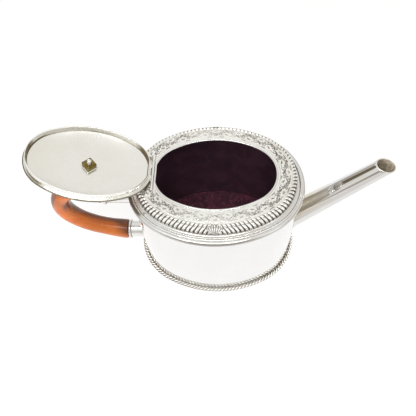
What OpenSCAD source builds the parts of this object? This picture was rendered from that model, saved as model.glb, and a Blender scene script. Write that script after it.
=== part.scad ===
// Oval straight-sided teapot with a hinged lid, wooden handle and tapered spout.
// Millimetres. +X points to the spout, -X to the handle, +Z up.
// The origin is the middle of the flat base. The lid is drawn fully open.

/* [Oval] */
// Half length of the mouth, along X
mouth_a = 43.5; // [42.5:0.1:44.5]
// Half width of the mouth, along Y
mouth_b = 30.2; // [29.4:0.1:31]
// Distance from the middle to the centre of each end arc
arc_d = 18.2; // [17:0.1:19.4]

/* [Body] */
// Height of the mouth rim above the base
mouth_z = 96.8; // [94:0.2:99]
// Offset from the mouth to the outside of the straight wall
wall_off = 19.3; // [18.8:0.1:19.6]
// Offset from the mouth to the outside of the shoulder band
band_off = 22; // [21.6:0.1:22.6]
// Thickness of the sheet silver
sheet = 1.2; // [1:0.1:1.3]
// Height of the plain foot strip
foot_h = 4.6; // [4.2:0.2:5.4]

/* [Spout] */
// Angle of the spout above the horizontal, degrees
spout_tilt = 49; // [47:0.5:51]
// Outside radius of the spout at the mouth
spout_r_tip = 6.4; // [5.6:0.1:6.8]
// Outside radius of the spout at the body
spout_r_root = 9.4; // [9:0.1:9.8]
// Wall thickness of the spout
spout_wall = 0.9; // [0.8:0.1:1.1]
// Tilt of the cut at the mouth, degrees down towards the outside
spout_cut = 11; // [6:1:20]
// Diameter of one strainer hole
strainer_d = 2.4; // [2:0.1:2.8]

/* [Handle] */
// Height of the upper socket's axis
upper_z = 69.4; // [68:0.2:71]
// Height of the lower socket's axis
lower_z = 15; // [14:0.2:16]
// Outside radius of the upper socket
upper_r = 6.6; // [6.2:0.1:7]
// Outside radius of the lower socket
lower_r = 7; // [6.6:0.1:7.4]

/* [Lid] */
// How far the lid stands open, degrees from closed
lid_open = 166; // [0:1:166]
// Depth of the bezel that drops into the mouth
bezel_depth = 4.4; // [3.6:0.2:5]
// How far the middle of the lid is raised above its edge
lid_rise = 3.8; // [3:0.2:4.4]
// Side of the square nut under the finial
nut_side = 7.6; // [7:0.2:8.4]
// Radius of the wooden knop
knop_r = 8.6; // [7.6:0.2:9.6]

/* [Hinge] */
// Outside radius of the hinge knuckles
knuckle_r = 1.15; // [1.1:0.05:1.2]
// Radius of the hinge pin
hinge_pin_r = 0.6; // [0.55:0.05:0.65]
// Half length of the hinge
hinge_half = 15.5; // [14:0.5:16.5]

/* [Hidden] */

$fn = 96;

// four-centre oval through (mouth_a, 0) and (0, mouth_b)
k = mouth_a - mouth_b;
arc_c = k * (2 * arc_d - k) / (2 * (arc_d - k));
end_r = mouth_a - arc_d;
side_r = mouth_b + arc_c;
turn = atan(arc_d / arc_c);

inner_off = wall_off - sheet;
band_z = mouth_z - 15.2;
gadroon_z = mouth_z - 9.8;

hinge_x = -(mouth_a + 1.2);
hinge_z = mouth_z + 0.9;
seat_top = hinge_z - knuckle_r - 0.3;
run_fit = 0.05;

spout_axis_x = 66.1;
spout_axis_z = 43.9;
spout_len = 79.5;
spout_taper = (spout_r_root - spout_r_tip) / spout_len;

socket_in = 5.6;
socket_end_u = -84;
socket_end_l = -73.6;
collar_t = 2.8;

lid_z = mouth_z + 0.3;
lid_top = lid_z + lid_rise + 1;

// centre line of the handle: x, z, radius
HANDLE = [
    [-76.4, 15, 8.3], [-80, 15.5, 8.25], [-84, 16.6, 8.05], [-89.5, 18.2, 7.7],
    [-95.2, 20.4, 7.45], [-101, 23, 7.4], [-106.4, 26.2, 7.4], [-111.4, 30, 7.4],
    [-115.9, 34.6, 7.4], [-119.2, 39.2, 7.5], [-121.7, 44, 7.55], [-123.4, 49.4, 7.55],
    [-123.9, 55, 7.45], [-123.3, 60.6, 7.3], [-121.4, 66, 7.2], [-118, 70.8, 7.2],
    [-113.2, 74.4, 7.2], [-107.6, 76.2, 7.2], [-102, 76.4, 7.2], [-97, 75, 7.1],
    [-91.8, 72.4, 6.9], [-86.8, 69.4, 7.2]
];

// ---- shared shapes ----

// flat oval, offset outwards from the mouth by off
module oval(off) {
    tx = arc_d + (end_r + off) * cos(90 - turn);
    for (s = [-1, 1]) translate([s * arc_d, 0]) circle(r = end_r + off);
    intersection() {
        translate([0, -arc_c]) circle(r = side_r + off, $fn = 160);
        translate([0, arc_c]) circle(r = side_r + off, $fn = 160);
        square([2 * tx, 4 * (mouth_b + off)], center = true);
    }
}

// oval ring between two offsets
module oval_ring(off_in, off_out) {
    difference() {
        oval(off_out);
        oval(off_in);
    }
}

// terraced solid: each [offset, z] is an oval filled from z0 up to z
module terrace(z0, steps) {
    for (s = steps) translate([0, 0, z0]) linear_extrude(s[1] - z0) oval(s[0]);
}

// oval band between two offsets and two heights
module band(off_in, off_out, z0, z1) {
    translate([0, 0, z0]) linear_extrude(z1 - z0) oval_ring(off_in, off_out);
}

// carries what is drawn for the closed lid to the open position
module open_lid() {
    translate([hinge_x, 0, hinge_z]) rotate([0, -lid_open, 0])
        translate([-hinge_x, 0, -hinge_z]) children();
}

// everything on the hinge side of the lid, cut away so that the lid clears the barrel
module barrel_notch() {
    translate([hinge_x - 20, -hinge_half - 3, lid_z - 10])
        cube([20 + knuckle_r + 0.4, 2 * hinge_half + 6, 20]);
}

// ---- pot ----

// strainer holes behind the spout, in rows
STRAINER = [for (row = [-2:2]) let (n = 4 - abs(row))
    for (i = [0:n - 1]) [(i - (n - 1) / 2) * 4.2, row * 4.2]];

module body_wall() {
    color([0.93, 0.93, 0.91]) difference() {
        translate([0, 0, foot_h]) linear_extrude(band_z - foot_h) oval_ring(inner_off, wall_off);
        for (p = STRAINER) translate([mouth_a + wall_off - 12, p[0], strainer_z + p[1]])
            rotate([0, 90, 0]) cylinder(h = 20, d = strainer_d, $fn = 24);
    }
}

strainer_z = spout_axis_z - (spout_axis_x - mouth_a - wall_off) * tan(spout_tilt);

module base_plate() {
    color([0.9, 0.9, 0.88]) linear_extrude(sheet) oval(inner_off);
}

module foot_strip() {
    color([0.93, 0.93, 0.91]) linear_extrude(foot_h) oval_ring(inner_off, wall_off + 0.5);
}

// rope border: a half-round wire soldered against the foot strip
module rope_border() {
    r = wall_off + 0.5;
    color([0.85, 0.85, 0.83]) union() {
        band(r, r + 2, 0.3, 4.1);
        band(r, r + 2.6, 0.7, 3.7);
        band(r, r + 2.85, 1.3, 3.1);
    }
}

module shoulder_band() {
    z = band_z;
    color([0.92, 0.92, 0.9]) difference() {
        union() {
            terrace(z, [[band_off - 0.4, z + 3.1], [band_off - 1, z + 3.7],
                [band_off - 2.2, z + 4.2], [17.6, z + 4.3], [16, z + 4.7], [14.8, gadroon_z]]);
            translate([0, 0, z + 0.4]) linear_extrude(2.2) oval(band_off);
            band(18, 19.6, z + 3, z + 5.1);
        }
        translate([0, 0, z - 1]) linear_extrude(2.8) oval(inner_off);
        translate([0, 0, z - 1]) linear_extrude(4) oval(17);
        translate([0, 0, z - 1]) linear_extrude(4.5) oval(15);
        translate([0, 0, z - 1]) linear_extrude(30) oval(13.4);
    }
}

module gadroon_border() {
    z = mouth_z;
    g = gadroon_z;
    color([0.88, 0.88, 0.86]) difference() {
        terrace(g, [[14.8, z - 7.6], [14.6, z - 5.2], [14.2, z - 3.6], [13.7, z - 2.3],
            [13, z - 1.3], [12.3, z - 0.8]]);
        terrace(g - 1, [[13.4, z - 7.6], [13.2, z - 5.2], [12.8, z - 3.6], [12.3, z - 2.6]]);
        translate([0, 0, g - 1]) linear_extrude(30) oval(11.8);
    }
}

module shoulder_plate() {
    z = mouth_z;
    color([0.9, 0.9, 0.88]) difference() {
        union() {
            band(1.6, 11.8, z - 1.8, z - 0.6);
            band(3.4, 10.4, z - 1.8, z - 0.2);
            band(5.4, 8.6, z - 1.8, z);
        }
        seat_block(0);
    }
}

module mouth_wire() {
    z = mouth_z;
    color([0.94, 0.94, 0.92]) difference() {
        union() {
            band(0, 1.6, z - 1.3, z - 0.4);
            band(0.4, 1.6, z - 1.6, z - 0.1);
            band(0.6, 1.3, z - 1.6, z);
        }
        seat_block(0);
    }
}

// ---- hinge, pot side ----

module seat_block(clear) {
    translate([hinge_x - 2.3 - clear, -hinge_half - 0.3 - clear, mouth_z - 3])
        cube([4.4 + 2 * clear, 2 * hinge_half + 0.6 + 2 * clear, 3 + 2]);
}

// lengths of the knuckles along Y: three on the pot, two on the lid between them
POT_KNUCKLES = [[-hinge_half, -hinge_half + 6], [-3, 3], [hinge_half - 6, hinge_half]];
LID_KNUCKLES = [[-hinge_half + 6.15, -3.15], [3.15, hinge_half - 6.15]];

module knuckle(y0, y1, bore) {
    translate([hinge_x, y0, hinge_z]) rotate([-90, 0, 0]) difference() {
        cylinder(h = y1 - y0, r = knuckle_r, $fn = 48);
        translate([0, 0, -1]) cylinder(h = y1 - y0 + 2, r = bore, $fn = 48);
    }
}

// the flat seat is let into the mouth's end; its knuckles stand on it
module hinge_seat() {
    color([0.86, 0.86, 0.84]) union() {
        translate([hinge_x - 2.3, -hinge_half - 0.3, mouth_z - 2])
            cube([4.4, 2 * hinge_half + 0.6, seat_top - mouth_z + 2]);
        for (y = POT_KNUCKLES) {
            knuckle(y[0], y[1], hinge_pin_r);
            difference() {
                translate([hinge_x - 0.8, y[0], seat_top]) cube([1.6, y[1] - y[0], 0.9]);
                translate([hinge_x, y[0] - 1, hinge_z]) rotate([-90, 0, 0])
                    cylinder(h = y[1] - y[0] + 2, r = hinge_pin_r + 0.1, $fn = 48);
            }
        }
    }
}

module hinge_pin() {
    color([0.8, 0.8, 0.78]) translate([hinge_x, -hinge_half, hinge_z])
        rotate([-90, 0, 0]) cylinder(h = 2 * hinge_half, r = hinge_pin_r, $fn = 48);
}

// ---- spout ----

module spout_cone(r_add, ext) {
    translate([spout_axis_x, 0, spout_axis_z]) rotate([0, 90 - spout_tilt, 0])
        translate([0, 0, -ext]) cylinder(h = spout_len + ext + 12,
            r1 = spout_r_root + r_add + ext * spout_taper,
            r2 = spout_r_tip + r_add - 12 * spout_taper, $fn = 96);
}

module spout() {
    tip_x = spout_axis_x + spout_len * cos(spout_tilt);
    tip_z = spout_axis_z + spout_len * sin(spout_tilt);
    color([0.92, 0.91, 0.88]) difference() {
        spout_cone(0, 22);
        spout_cone(-spout_wall, 24);
        linear_extrude(mouth_z) oval(wall_off);
        translate([tip_x, 0, tip_z]) rotate([0, spout_cut, 0])
            translate([-30, -30, 0]) cube([60, 60, 40]);
    }
}

// ---- handle and its sockets ----

module socket(z, r, x_end) {
    difference() {
        translate([x_end, 0, z]) rotate([0, 90, 0])
            cylinder(h = -x_end - mouth_a - wall_off + 6, r = r, $fn = 64);
        translate([x_end - 1, 0, z]) rotate([0, 90, 0]) cylinder(h = 13, r = socket_in, $fn = 64);
        translate([0, 0, -1]) linear_extrude(mouth_z) oval(wall_off);
        translate([x_end + 6, 0, z]) rotate([90, 0, 0])
            cylinder(h = 40, r = 0.9, center = true, $fn = 32);
    }
}

module upper_socket() {
    color([0.92, 0.92, 0.9]) socket(upper_z, upper_r, socket_end_u);
}

module lower_socket() {
    color([0.92, 0.92, 0.9]) socket(lower_z, lower_r, socket_end_l);
}

// rounded ring between a socket and the wood
module collar(x, z, r) {
    translate([x, 0, z]) rotate([0, -90, 0]) rotate_extrude($fn = 64) difference() {
        union() {
            translate([socket_in, 0]) square([r - socket_in - 1.1, collar_t]);
            translate([r - 1.4, collar_t / 2]) circle(r = 1.4, $fn = 32);
        }
        translate([0, -1]) square([socket_in, collar_t + 2]);
    }
}

module upper_collar() {
    color([0.9, 0.9, 0.88]) collar(socket_end_u, upper_z, upper_r + 1.2);
}

module lower_collar() {
    color([0.9, 0.9, 0.88]) collar(socket_end_l, lower_z, lower_r + 1.4);
}

HN = len(HANDLE);
HS = 18;

// direction of the centre line at point i, as [x, z]
function tangent(i) = i == 0 ? [-1, 0] : i == HN - 1 ? [1, 0] :
    let (v = [HANDLE[i + 1][0] - HANDLE[i - 1][0], HANDLE[i + 1][1] - HANDLE[i - 1][1]])
    v / norm(v);

module handle_bow() {
    pts = [for (i = [0:HN - 1]) let (t = tangent(i), h = HANDLE[i])
        for (j = [0:HS - 1]) let (a = 360 * j / HS)
            [h[0] - t[1] * h[2] * cos(a), h[2] * sin(a), h[1] + t[0] * h[2] * cos(a)]];
    faces = concat(
        [[for (j = [0:HS - 1]) HS - 1 - j]],
        [[for (j = [0:HS - 1]) (HN - 1) * HS + j]],
        [for (i = [0:HN - 2]) for (j = [0:HS - 1])
            [i * HS + j, i * HS + (j + 1) % HS, (i + 1) * HS + (j + 1) % HS, (i + 1) * HS + j]]);
    polyhedron(points = pts, faces = faces, convexity = 6);
}

module tenon(x0, x1, z, pin_x) {
    difference() {
        translate([x0, 0, z]) rotate([0, 90, 0]) cylinder(h = x1 - x0, r = socket_in - 0.1, $fn = 48);
        translate([pin_x, 0, z]) rotate([90, 0, 0]) cylinder(h = 30, r = 0.9, center = true, $fn = 32);
    }
}

module handle() {
    color([0.72, 0.36, 0.16]) union() {
        handle_bow();
        tenon(HANDLE[HN - 1][0], socket_end_u + 11, upper_z, socket_end_u + 6);
        tenon(HANDLE[0][0], socket_end_l + 10.2, lower_z, socket_end_l + 6);
    }
}

module handle_pin(x, z, r) {
    translate([x, 0, z]) rotate([90, 0, 0]) cylinder(h = 2 * r + 0.5, r = 0.9, center = true, $fn = 32);
}

module upper_handle_pin() {
    color([0.85, 0.85, 0.83]) handle_pin(socket_end_u + 6, upper_z, upper_r);
}

module lower_handle_pin() {
    color([0.85, 0.85, 0.83]) handle_pin(socket_end_l + 6, lower_z, lower_r);
}

// ---- lid, drawn closed and carried to the open position ----

module lid_plate() {
    z = lid_z;
    r = lid_rise;
    color([0.93, 0.93, 0.91]) open_lid() difference() {
        union() {
            translate([0, 0, z]) linear_extrude(1) oval(0.9);
            terrace(z, [[-1.2, z + 1 + r * 0.2], [-4.4, z + 1 + r * 0.45], [-8.4, z + 1 + r * 0.7],
                [-13, z + 1 + r * 0.88], [-18, z + 1 + r]]);
        }
        terrace(z - 1, [[-2.2, z + r * 0.2], [-5.4, z + r * 0.45], [-9.4, z + r * 0.7],
            [-14, z + r * 0.88], [-19, z + r]]);
        barrel_notch();
        translate([0, 0, z - 5]) cylinder(h = 20, r = 1.7, $fn = 32);
    }
}

module lid_bezel() {
    flat_x = hinge_x + 2.9;
    color([0.9, 0.9, 0.88]) open_lid() translate([0, 0, lid_z - bezel_depth]) linear_extrude(bezel_depth)
        difference() {
            intersection() {
                oval(-0.66);
                translate([flat_x, -60]) square([140, 120]);
            }
            intersection() {
                oval(-1.86);
                translate([flat_x + 1.2, -60]) square([140, 120]);
            }
        }
}

module lid_border() {
    color([0.88, 0.88, 0.86]) open_lid() difference() {
        union() {
            band(-0.9, 0.9, lid_z + 1, lid_z + 1.4);
            band(-0.7, 0.6, lid_z + 1, lid_z + 1.75);
        }
        translate([0, 0, lid_z]) linear_extrude(1.76) oval(-0.9);
        barrel_notch();
    }
}

// knuckles with arms that reach the edge of the lid plate
module lid_hinge_knuckles() {
    edge_x = hinge_x + knuckle_r + 0.4;
    color([0.86, 0.86, 0.84]) open_lid() for (y = LID_KNUCKLES) {
        ya = max(y[0], -7.9);
        yb = min(y[1], 7.9);
        knuckle(y[0], y[1], hinge_pin_r + run_fit);
        difference() {
            translate([hinge_x, ya, lid_z + 0.15]) cube([edge_x - hinge_x, yb - ya, 0.8]);
            translate([hinge_x, ya - 1, hinge_z]) rotate([-90, 0, 0])
                cylinder(h = yb - ya + 2, r = hinge_pin_r + 0.25, $fn = 48);
        }
    }
}

// ---- finial, held by one screw ----

module finial_seat() {
    color([0.9, 0.9, 0.88]) open_lid() translate([0, 0, lid_top]) rotate_extrude($fn = 64)
        polygon([[1.7, 0], [9, 0], [9, 0.6], [8.2, 1], [6.6, 1.2], [5.8, 1.7], [5.6, 2.3], [1.7, 2.3]]);
}

module finial_knop() {
    color([0.6, 0.3, 0.14]) open_lid() translate([0, 0, lid_top + 2.3]) rotate_extrude($fn = 64)
        polygon([[1.7, 0], [5.4, 0], [6.2, 0.9], [7.6, 2], [knop_r - 0.2, 3.4], [knop_r, 4.8],
            [knop_r - 0.4, 6.2], [7, 7.4], [5.4, 8.2], [1.7, 8.4]]);
}

module finial_screw() {
    color([0.85, 0.85, 0.83]) open_lid() translate([0, 0, lid_top + 10.7]) rotate_extrude($fn = 64)
        polygon([[0, 3.6], [1.2, 3.4], [2.4, 2.8], [3.2, 1.8], [3.4, 1], [4.2, 0.6], [4.2, 0],
            [1.6, 0], [1.6, -18.4], [1.2, -18.8], [0, -18.8]]);
}

module nut_washer() {
    color([0.8, 0.74, 0.55]) open_lid() difference() {
        translate([0, 0, lid_z + lid_rise - 0.8]) rotate([0, 0, 45]) linear_extrude(0.8)
            square(nut_side + 1, center = true);
        translate([0, 0, lid_z - 6]) cylinder(h = 20, r = 1.7, $fn = 32);
    }
}

module square_nut() {
    color([0.75, 0.62, 0.32]) open_lid() difference() {
        translate([0, 0, lid_z + lid_rise - 3.6]) rotate([0, 0, 45]) linear_extrude(2.8)
            square(nut_side, center = true);
        translate([0, 0, lid_z - 6]) cylinder(h = 20, r = 1.65, $fn = 32);
    }
}

body_wall();
base_plate();
foot_strip();
rope_border();
shoulder_band();
gadroon_border();
shoulder_plate();
mouth_wire();
spout();
upper_socket();
lower_socket();
upper_collar();
lower_collar();
handle();
upper_handle_pin();
lower_handle_pin();
hinge_seat();
hinge_pin();
lid_plate();
lid_bezel();
lid_border();
lid_hinge_knuckles();
finial_seat();
finial_knop();
finial_screw();
nut_washer();
square_nut();
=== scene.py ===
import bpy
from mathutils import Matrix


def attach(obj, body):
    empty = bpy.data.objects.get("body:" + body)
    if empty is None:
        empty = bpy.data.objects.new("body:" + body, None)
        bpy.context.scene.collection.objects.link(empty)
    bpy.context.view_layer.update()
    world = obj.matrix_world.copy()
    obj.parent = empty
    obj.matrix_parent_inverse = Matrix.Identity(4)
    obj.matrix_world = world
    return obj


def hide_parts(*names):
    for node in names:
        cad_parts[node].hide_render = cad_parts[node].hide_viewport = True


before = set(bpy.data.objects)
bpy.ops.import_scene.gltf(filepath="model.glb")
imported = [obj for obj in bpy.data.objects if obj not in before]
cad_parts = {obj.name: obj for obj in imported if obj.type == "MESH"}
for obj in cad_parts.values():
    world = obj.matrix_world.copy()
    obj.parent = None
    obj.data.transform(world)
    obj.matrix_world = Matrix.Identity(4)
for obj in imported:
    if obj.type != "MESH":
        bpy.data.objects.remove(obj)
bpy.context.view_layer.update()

import math

import bpy
import numpy as np
from mathutils import Matrix, Vector

PI = math.pi
MM = 0.001

# ------------------------------------------------------------------ the oval, in millimetres
A, B, D = 43.5, 30.2, 18.2
K = A - B
C = K * (2 * D - K) / (2 * (D - K))
RE, RS = A - D, B + C
TURN = math.atan(D / C)
SEGS = [
    (0.0, C, RS, -PI / 2, -PI / 2 + TURN),
    (D, 0.0, RE, -PI / 2 + TURN, PI / 2 - TURN),
    (0.0, -C, RS, PI / 2 - TURN, PI / 2 + TURN),
    (-D, 0.0, RE, PI / 2 + TURN, 1.5 * PI - TURN),
    (0.0, C, RS, 1.5 * PI - TURN, 1.5 * PI),
]
MOUTH = 96.8
BAND = MOUTH - 15.2
GAD = MOUTH - 9.8
WALL, WALL_IN, BAND_OFF = 19.3, 18.1, 22.0
HINGE_X, HINGE_Z, KNUCKLE = -(A + 1.2), MOUTH + 0.9, 1.15
SEAT_TOP = HINGE_Z - KNUCKLE - 0.3
LID_Z, RISE = MOUTH + 0.3, 3.8
LID_TOP = LID_Z + RISE + 1
OPEN = math.radians(166)


def perimeter(ref):
    return sum((b - a) * (r + ref) for _, _, r, a, b in SEGS)


def stations(n, ref, closed=True, shift=0.0):
    """n stations round the oval, evenly spaced at offset ref, anticlockwise from the front centre."""
    lens = np.array([(b - a) * (r + ref) for _, _, r, a, b in SEGS])
    ends = np.cumsum(lens)
    s = (np.arange(n) / (n if closed else n - 1) + shift) % 1.0 * ends[-1]
    k = np.clip(np.searchsorted(ends, s, side="right"), 0, 4)
    seg = np.array(SEGS)[k]
    th = seg[:, 3] + (s - (ends - lens)[k]) / (seg[:, 2] + ref)
    return {"cx": seg[:, 0], "cy": seg[:, 1], "r": seg[:, 2], "th": th, "k": k, "s": s, "len": ends[-1]}


def at(st, off, z):
    """Points at offsets off and heights z: off and z are (M,) or (N, M)."""
    off = np.asarray(off, float)
    z = np.asarray(z, float)
    n = len(st["th"])
    if off.ndim == 1:
        off = np.broadcast_to(off, (n, off.size))
    if z.ndim == 1:
        z = np.broadcast_to(z, off.shape)
    rr = st["r"][:, None] + off
    return np.stack([st["cx"][:, None] + rr * np.cos(st["th"])[:, None],
                     st["cy"][:, None] + rr * np.sin(st["th"])[:, None], z], -1)


def offset_of(x, y):
    """Offset of points in plan."""
    end = np.abs(x) * C > D * (np.abs(y) + C)
    sx = np.sign(x) + (x == 0)
    sy = np.sign(y) + (y == 0)
    o_end = np.hypot(x - sx * D, y) - RE
    o_side = np.hypot(x, y + sy * C) - RS
    return np.where(end, o_end, o_side)


def cut_left(st, off, base, xlim):
    """Offsets squeezed between base and a straight cut at x = -xlim at the hinge end."""
    off = np.broadcast_to(np.asarray(off, float), (len(st["th"]), np.size(off))).copy()
    left = st["k"] == 3
    c = np.abs(np.cos(st["th"]))
    top = off.max(axis=1)
    lim = np.where(left & (c > 0.2), (xlim - D) / np.maximum(c, 0.2) - RE, 99.0)
    new = np.minimum(top, lim)
    scale = (new - base) / (top - base)
    return base + (off - base) * scale[:, None]


# ------------------------------------------------------------------ curves
def rounded(pts, step=13.0, closed=True, support=0.05):
    """Outline with a fillet radius at each corner: (x, y, r)."""
    n = len(pts)
    p = np.array([(q[0], q[1]) for q in pts], float)
    rad = [q[2] if len(q) > 2 else 0.0 for q in pts]
    runs = []
    for i in range(n):
        if rad[i] <= 0 or (not closed and i in (0, n - 1)):
            runs.append([p[i]])
            continue
        u, w = p[i - 1] - p[i], p[(i + 1) % n] - p[i]
        lu, lw = np.linalg.norm(u), np.linalg.norm(w)
        u, w = u / lu, w / lw
        half = math.acos(max(-1.0, min(1.0, float(u @ w)))) / 2
        if half > 1.5:
            runs.append([p[i]])
            continue
        t = min(rad[i] / math.tan(half), 0.49 * min(lu, lw))
        r = t * math.tan(half)
        m = (u + w) / np.linalg.norm(u + w)
        ctr = p[i] + m * r / math.sin(half)
        a, b = p[i] + u * t - ctr, p[i] + w * t - ctr
        a0 = math.atan2(a[1], a[0])
        da = (math.atan2(b[1], b[0]) - a0 + PI) % (2 * PI) - PI
        k = max(2, math.ceil(math.degrees(abs(da)) / step))
        runs.append([ctr + r * np.array([math.cos(a0 + da * j / k), math.sin(a0 + da * j / k)])
                     for j in range(k + 1)])
    out = []
    for i in range(n):
        out += runs[i]
        if closed or i < n - 1:
            a, b = runs[i][-1], runs[(i + 1) % n][0]
            d = b - a
            length = np.linalg.norm(d)
            if length > 4 * support:
                out += [a + d * support / length, b - d * support / length]
    out = np.array(out)
    keep = np.linalg.norm(out - np.roll(out, 1, axis=0), axis=1) > 1e-6
    if not closed:
        keep[0] = True
    return out[keep]


def cubic(pts, n, start=None, end=None):
    """n points on a cubic spline through pts, parametrised by length of the first two coordinates."""
    p = np.asarray(pts, float)
    t = np.r_[0, np.cumsum(np.linalg.norm(np.diff(p[:, :2], axis=0), axis=1))]
    m = len(p)
    h = np.diff(t)
    a = np.zeros((m, m))
    rhs = np.zeros_like(p)
    a[0, 0] = a[-1, -1] = 1
    if start is not None:
        a[0, :2] = 2 * h[0], h[0]
        rhs[0] = 6 * ((p[1] - p[0]) / h[0] - np.asarray(start))
    if end is not None:
        a[-1, -2:] = h[-1], 2 * h[-1]
        rhs[-1] = 6 * (np.asarray(end) - (p[-1] - p[-2]) / h[-1])
    for i in range(1, m - 1):
        a[i, i - 1:i + 2] = h[i - 1], 2 * (h[i - 1] + h[i]), h[i]
        rhs[i] = 6 * ((p[i + 1] - p[i]) / h[i] - (p[i] - p[i - 1]) / h[i - 1])
    mm = np.linalg.solve(a, rhs)
    s = np.linspace(0, t[-1], n)
    k = np.clip(np.searchsorted(t, s, side="right") - 1, 0, m - 2)
    hk, d0, d1 = h[k][:, None], (t[k + 1] - s)[:, None], (s - t[k])[:, None]
    return (mm[k] * d0 ** 3 + mm[k + 1] * d1 ** 3) / (6 * hk) + (p[k] / hk - mm[k] * hk / 6) * d0 \
        + (p[k + 1] / hk - mm[k + 1] * hk / 6) * d1


def arc(cx, cy, rx, ry, a0, a1, n):
    a = np.radians(np.linspace(a0, a1, n))
    return np.stack([cx + rx * np.cos(a), cy + ry * np.sin(a)], 1)


# ------------------------------------------------------------------ meshes
class Geo:
    """Vertices in millimetres and faces, gathered before they become one mesh."""

    def __init__(self):
        self.v, self.n, self.loops, self.counts, self.attr = [], 0, [], [], {}

    def add(self, verts, faces, **attr):
        verts = np.asarray(verts, float).reshape(-1, 3)
        for f in (faces if isinstance(faces, list) else [faces]):
            f = np.asarray(f, int)
            if f.ndim == 1:
                f = f[None, :]
            if f.size == 0:
                continue
            self.loops.append((f + self.n).ravel())
            self.counts.append(np.full(f.shape[0], f.shape[1]))
        for k, val in attr.items():
            self.attr.setdefault(k, []).append((self.n, np.broadcast_to(np.asarray(val, float).ravel(), (len(verts),))))
        self.v.append(verts)
        self.n += len(verts)
        return self

    def mesh(self, name, move=None):
        co = np.concatenate(self.v)
        if move is not None:
            co = move(co)
        me = bpy.data.meshes.new(name)
        me.vertices.add(len(co))
        me.vertices.foreach_set("co", (co * MM).astype(np.float32).ravel())
        loops, counts = np.concatenate(self.loops), np.concatenate(self.counts)
        me.loops.add(len(loops))
        me.loops.foreach_set("vertex_index", loops.astype(np.int32))
        me.polygons.add(len(counts))
        me.polygons.foreach_set("loop_start", np.r_[0, np.cumsum(counts)[:-1]].astype(np.int32))
        me.update(calc_edges=True)
        for k, runs in self.attr.items():
            val = np.zeros(len(co), np.float32)
            for start, a in runs:
                val[start:start + len(a)] = a
            me.attributes.new(k, "FLOAT", "POINT").data.foreach_set("value", val)
        me.validate()
        return me


def quads(n, m, wrap_u=False, wrap_v=False, flip=False):
    i, j = np.meshgrid(np.arange(n if wrap_u else n - 1), np.arange(m if wrap_v else m - 1), indexing="ij")
    a, b = i * m + j, (i + 1) % n * m + j
    f = np.stack([a, b, (i + 1) % n * m + (j + 1) % m, i * m + (j + 1) % m], -1).reshape(-1, 4)
    return f[:, ::-1] if flip else f


def ring(geo, st, prof, cut=None, **attr):
    """Closed profile swept round the whole oval."""
    off, z = prof[:, 0], prof[:, 1]
    if cut:
        off = cut_left(st, off, *cut)
    p = at(st, off, z)
    geo.add(p, quads(p.shape[0], p.shape[1], True, True), **attr)
    return geo


def lathe(geo, prof, n=64, origin=(0, 0, 0), axis=(0, 0, 1), side=(1, 0, 0), closed=False, **attr):
    """Profile (r, h) turned round an axis; a first or last radius of 0 is a pole."""
    prof = np.asarray(prof, float)
    w = Vector(axis).normalized()
    u = (Vector(side) - w * w.dot(Vector(side))).normalized()
    v = w.cross(u)
    o, u, v, w = (np.array(q[:]) for q in (Vector(origin), u, v, w))
    a = np.arange(n) / n * 2 * PI
    body = prof
    lo = not closed and prof[0, 0] < 1e-6
    hi = not closed and prof[-1, 0] < 1e-6
    if lo:
        body = body[1:]
    if hi:
        body = body[:-1]
    m = len(body)
    dirs = np.cos(a)[:, None] * u + np.sin(a)[:, None] * v
    p = o + body[None, :, 0, None] * dirs[:, None, :] + body[None, :, 1, None] * w
    verts = p.reshape(-1, 3)
    faces = [quads(n, m, True, closed)]
    i = np.arange(n)
    if lo:
        verts = np.vstack([verts, o + prof[0, 1] * w])
        faces.append(np.stack([i * m, np.full(n, len(verts) - 1), (i + 1) % n * m], 1))
    elif not closed:
        faces.append((i * m)[::-1][None, :])
    if hi:
        verts = np.vstack([verts, o + prof[-1, 1] * w])
        faces.append(np.stack([i * m + m - 1, (i + 1) % n * m + m - 1, np.full(n, len(verts) - 1)], 1))
    elif not closed:
        faces.append((i * m + m - 1)[None, :])
    geo.add(verts, faces, **attr)
    return geo


def prism(geo, outline, z0, z1, bevel, place=None, **attr):
    """Upright block on a convex outline, its upper and lower edges rounded."""
    p = np.asarray(outline, float)
    nxt, prv = np.roll(p, -1, 0), np.roll(p, 1, 0)
    t = nxt - prv
    nrm = np.stack([t[:, 1], -t[:, 0]], 1) / np.linalg.norm(t, axis=1)[:, None]
    rows = []
    for a in (0, 30, 60, 90):
        c, s = math.cos(math.radians(a)), math.sin(math.radians(a))
        rows.append(np.c_[p - nrm * bevel * (1 - s), np.full(len(p), z0 + bevel * (1 - c))])
    rows.append(np.c_[p, np.full(len(p), z0 + bevel + 0.02)])
    rows.append(np.c_[p, np.full(len(p), z1 - bevel - 0.02)])
    for a in (90, 60, 30, 0):
        c, s = math.cos(math.radians(a)), math.sin(math.radians(a))
        rows.append(np.c_[p - nrm * bevel * (1 - s), np.full(len(p), z1 - bevel * (1 - c))])
    q = np.stack(rows, 1)
    if place is not None:
        q = place(q.reshape(-1, 3)).reshape(q.shape)
    n, m = q.shape[:2]
    i = np.arange(n)
    geo.add(q, [quads(n, m, True), (i * m)[::-1][None, :], (i * m + m - 1)[None, :]], **attr)
    return geo


def open_lid(p):
    c, s = math.cos(-OPEN), math.sin(-OPEN)
    x, z = p[:, 0] - HINGE_X, p[:, 2] - HINGE_Z
    return np.stack([HINGE_X + x * c + z * s, p[:, 1], HINGE_Z - x * s + z * c], 1)


def piece(name, geo, body, material, replaces=(), angle=32, move=None):
    me = geo.mesh(name, move)
    ob = bpy.data.objects.new(name, me)
    bpy.context.scene.collection.objects.link(ob)
    finish_mesh(me, angle)
    me.materials.append(material)
    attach(ob, body)
    if replaces:
        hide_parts(*replaces)
    return ob


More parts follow.
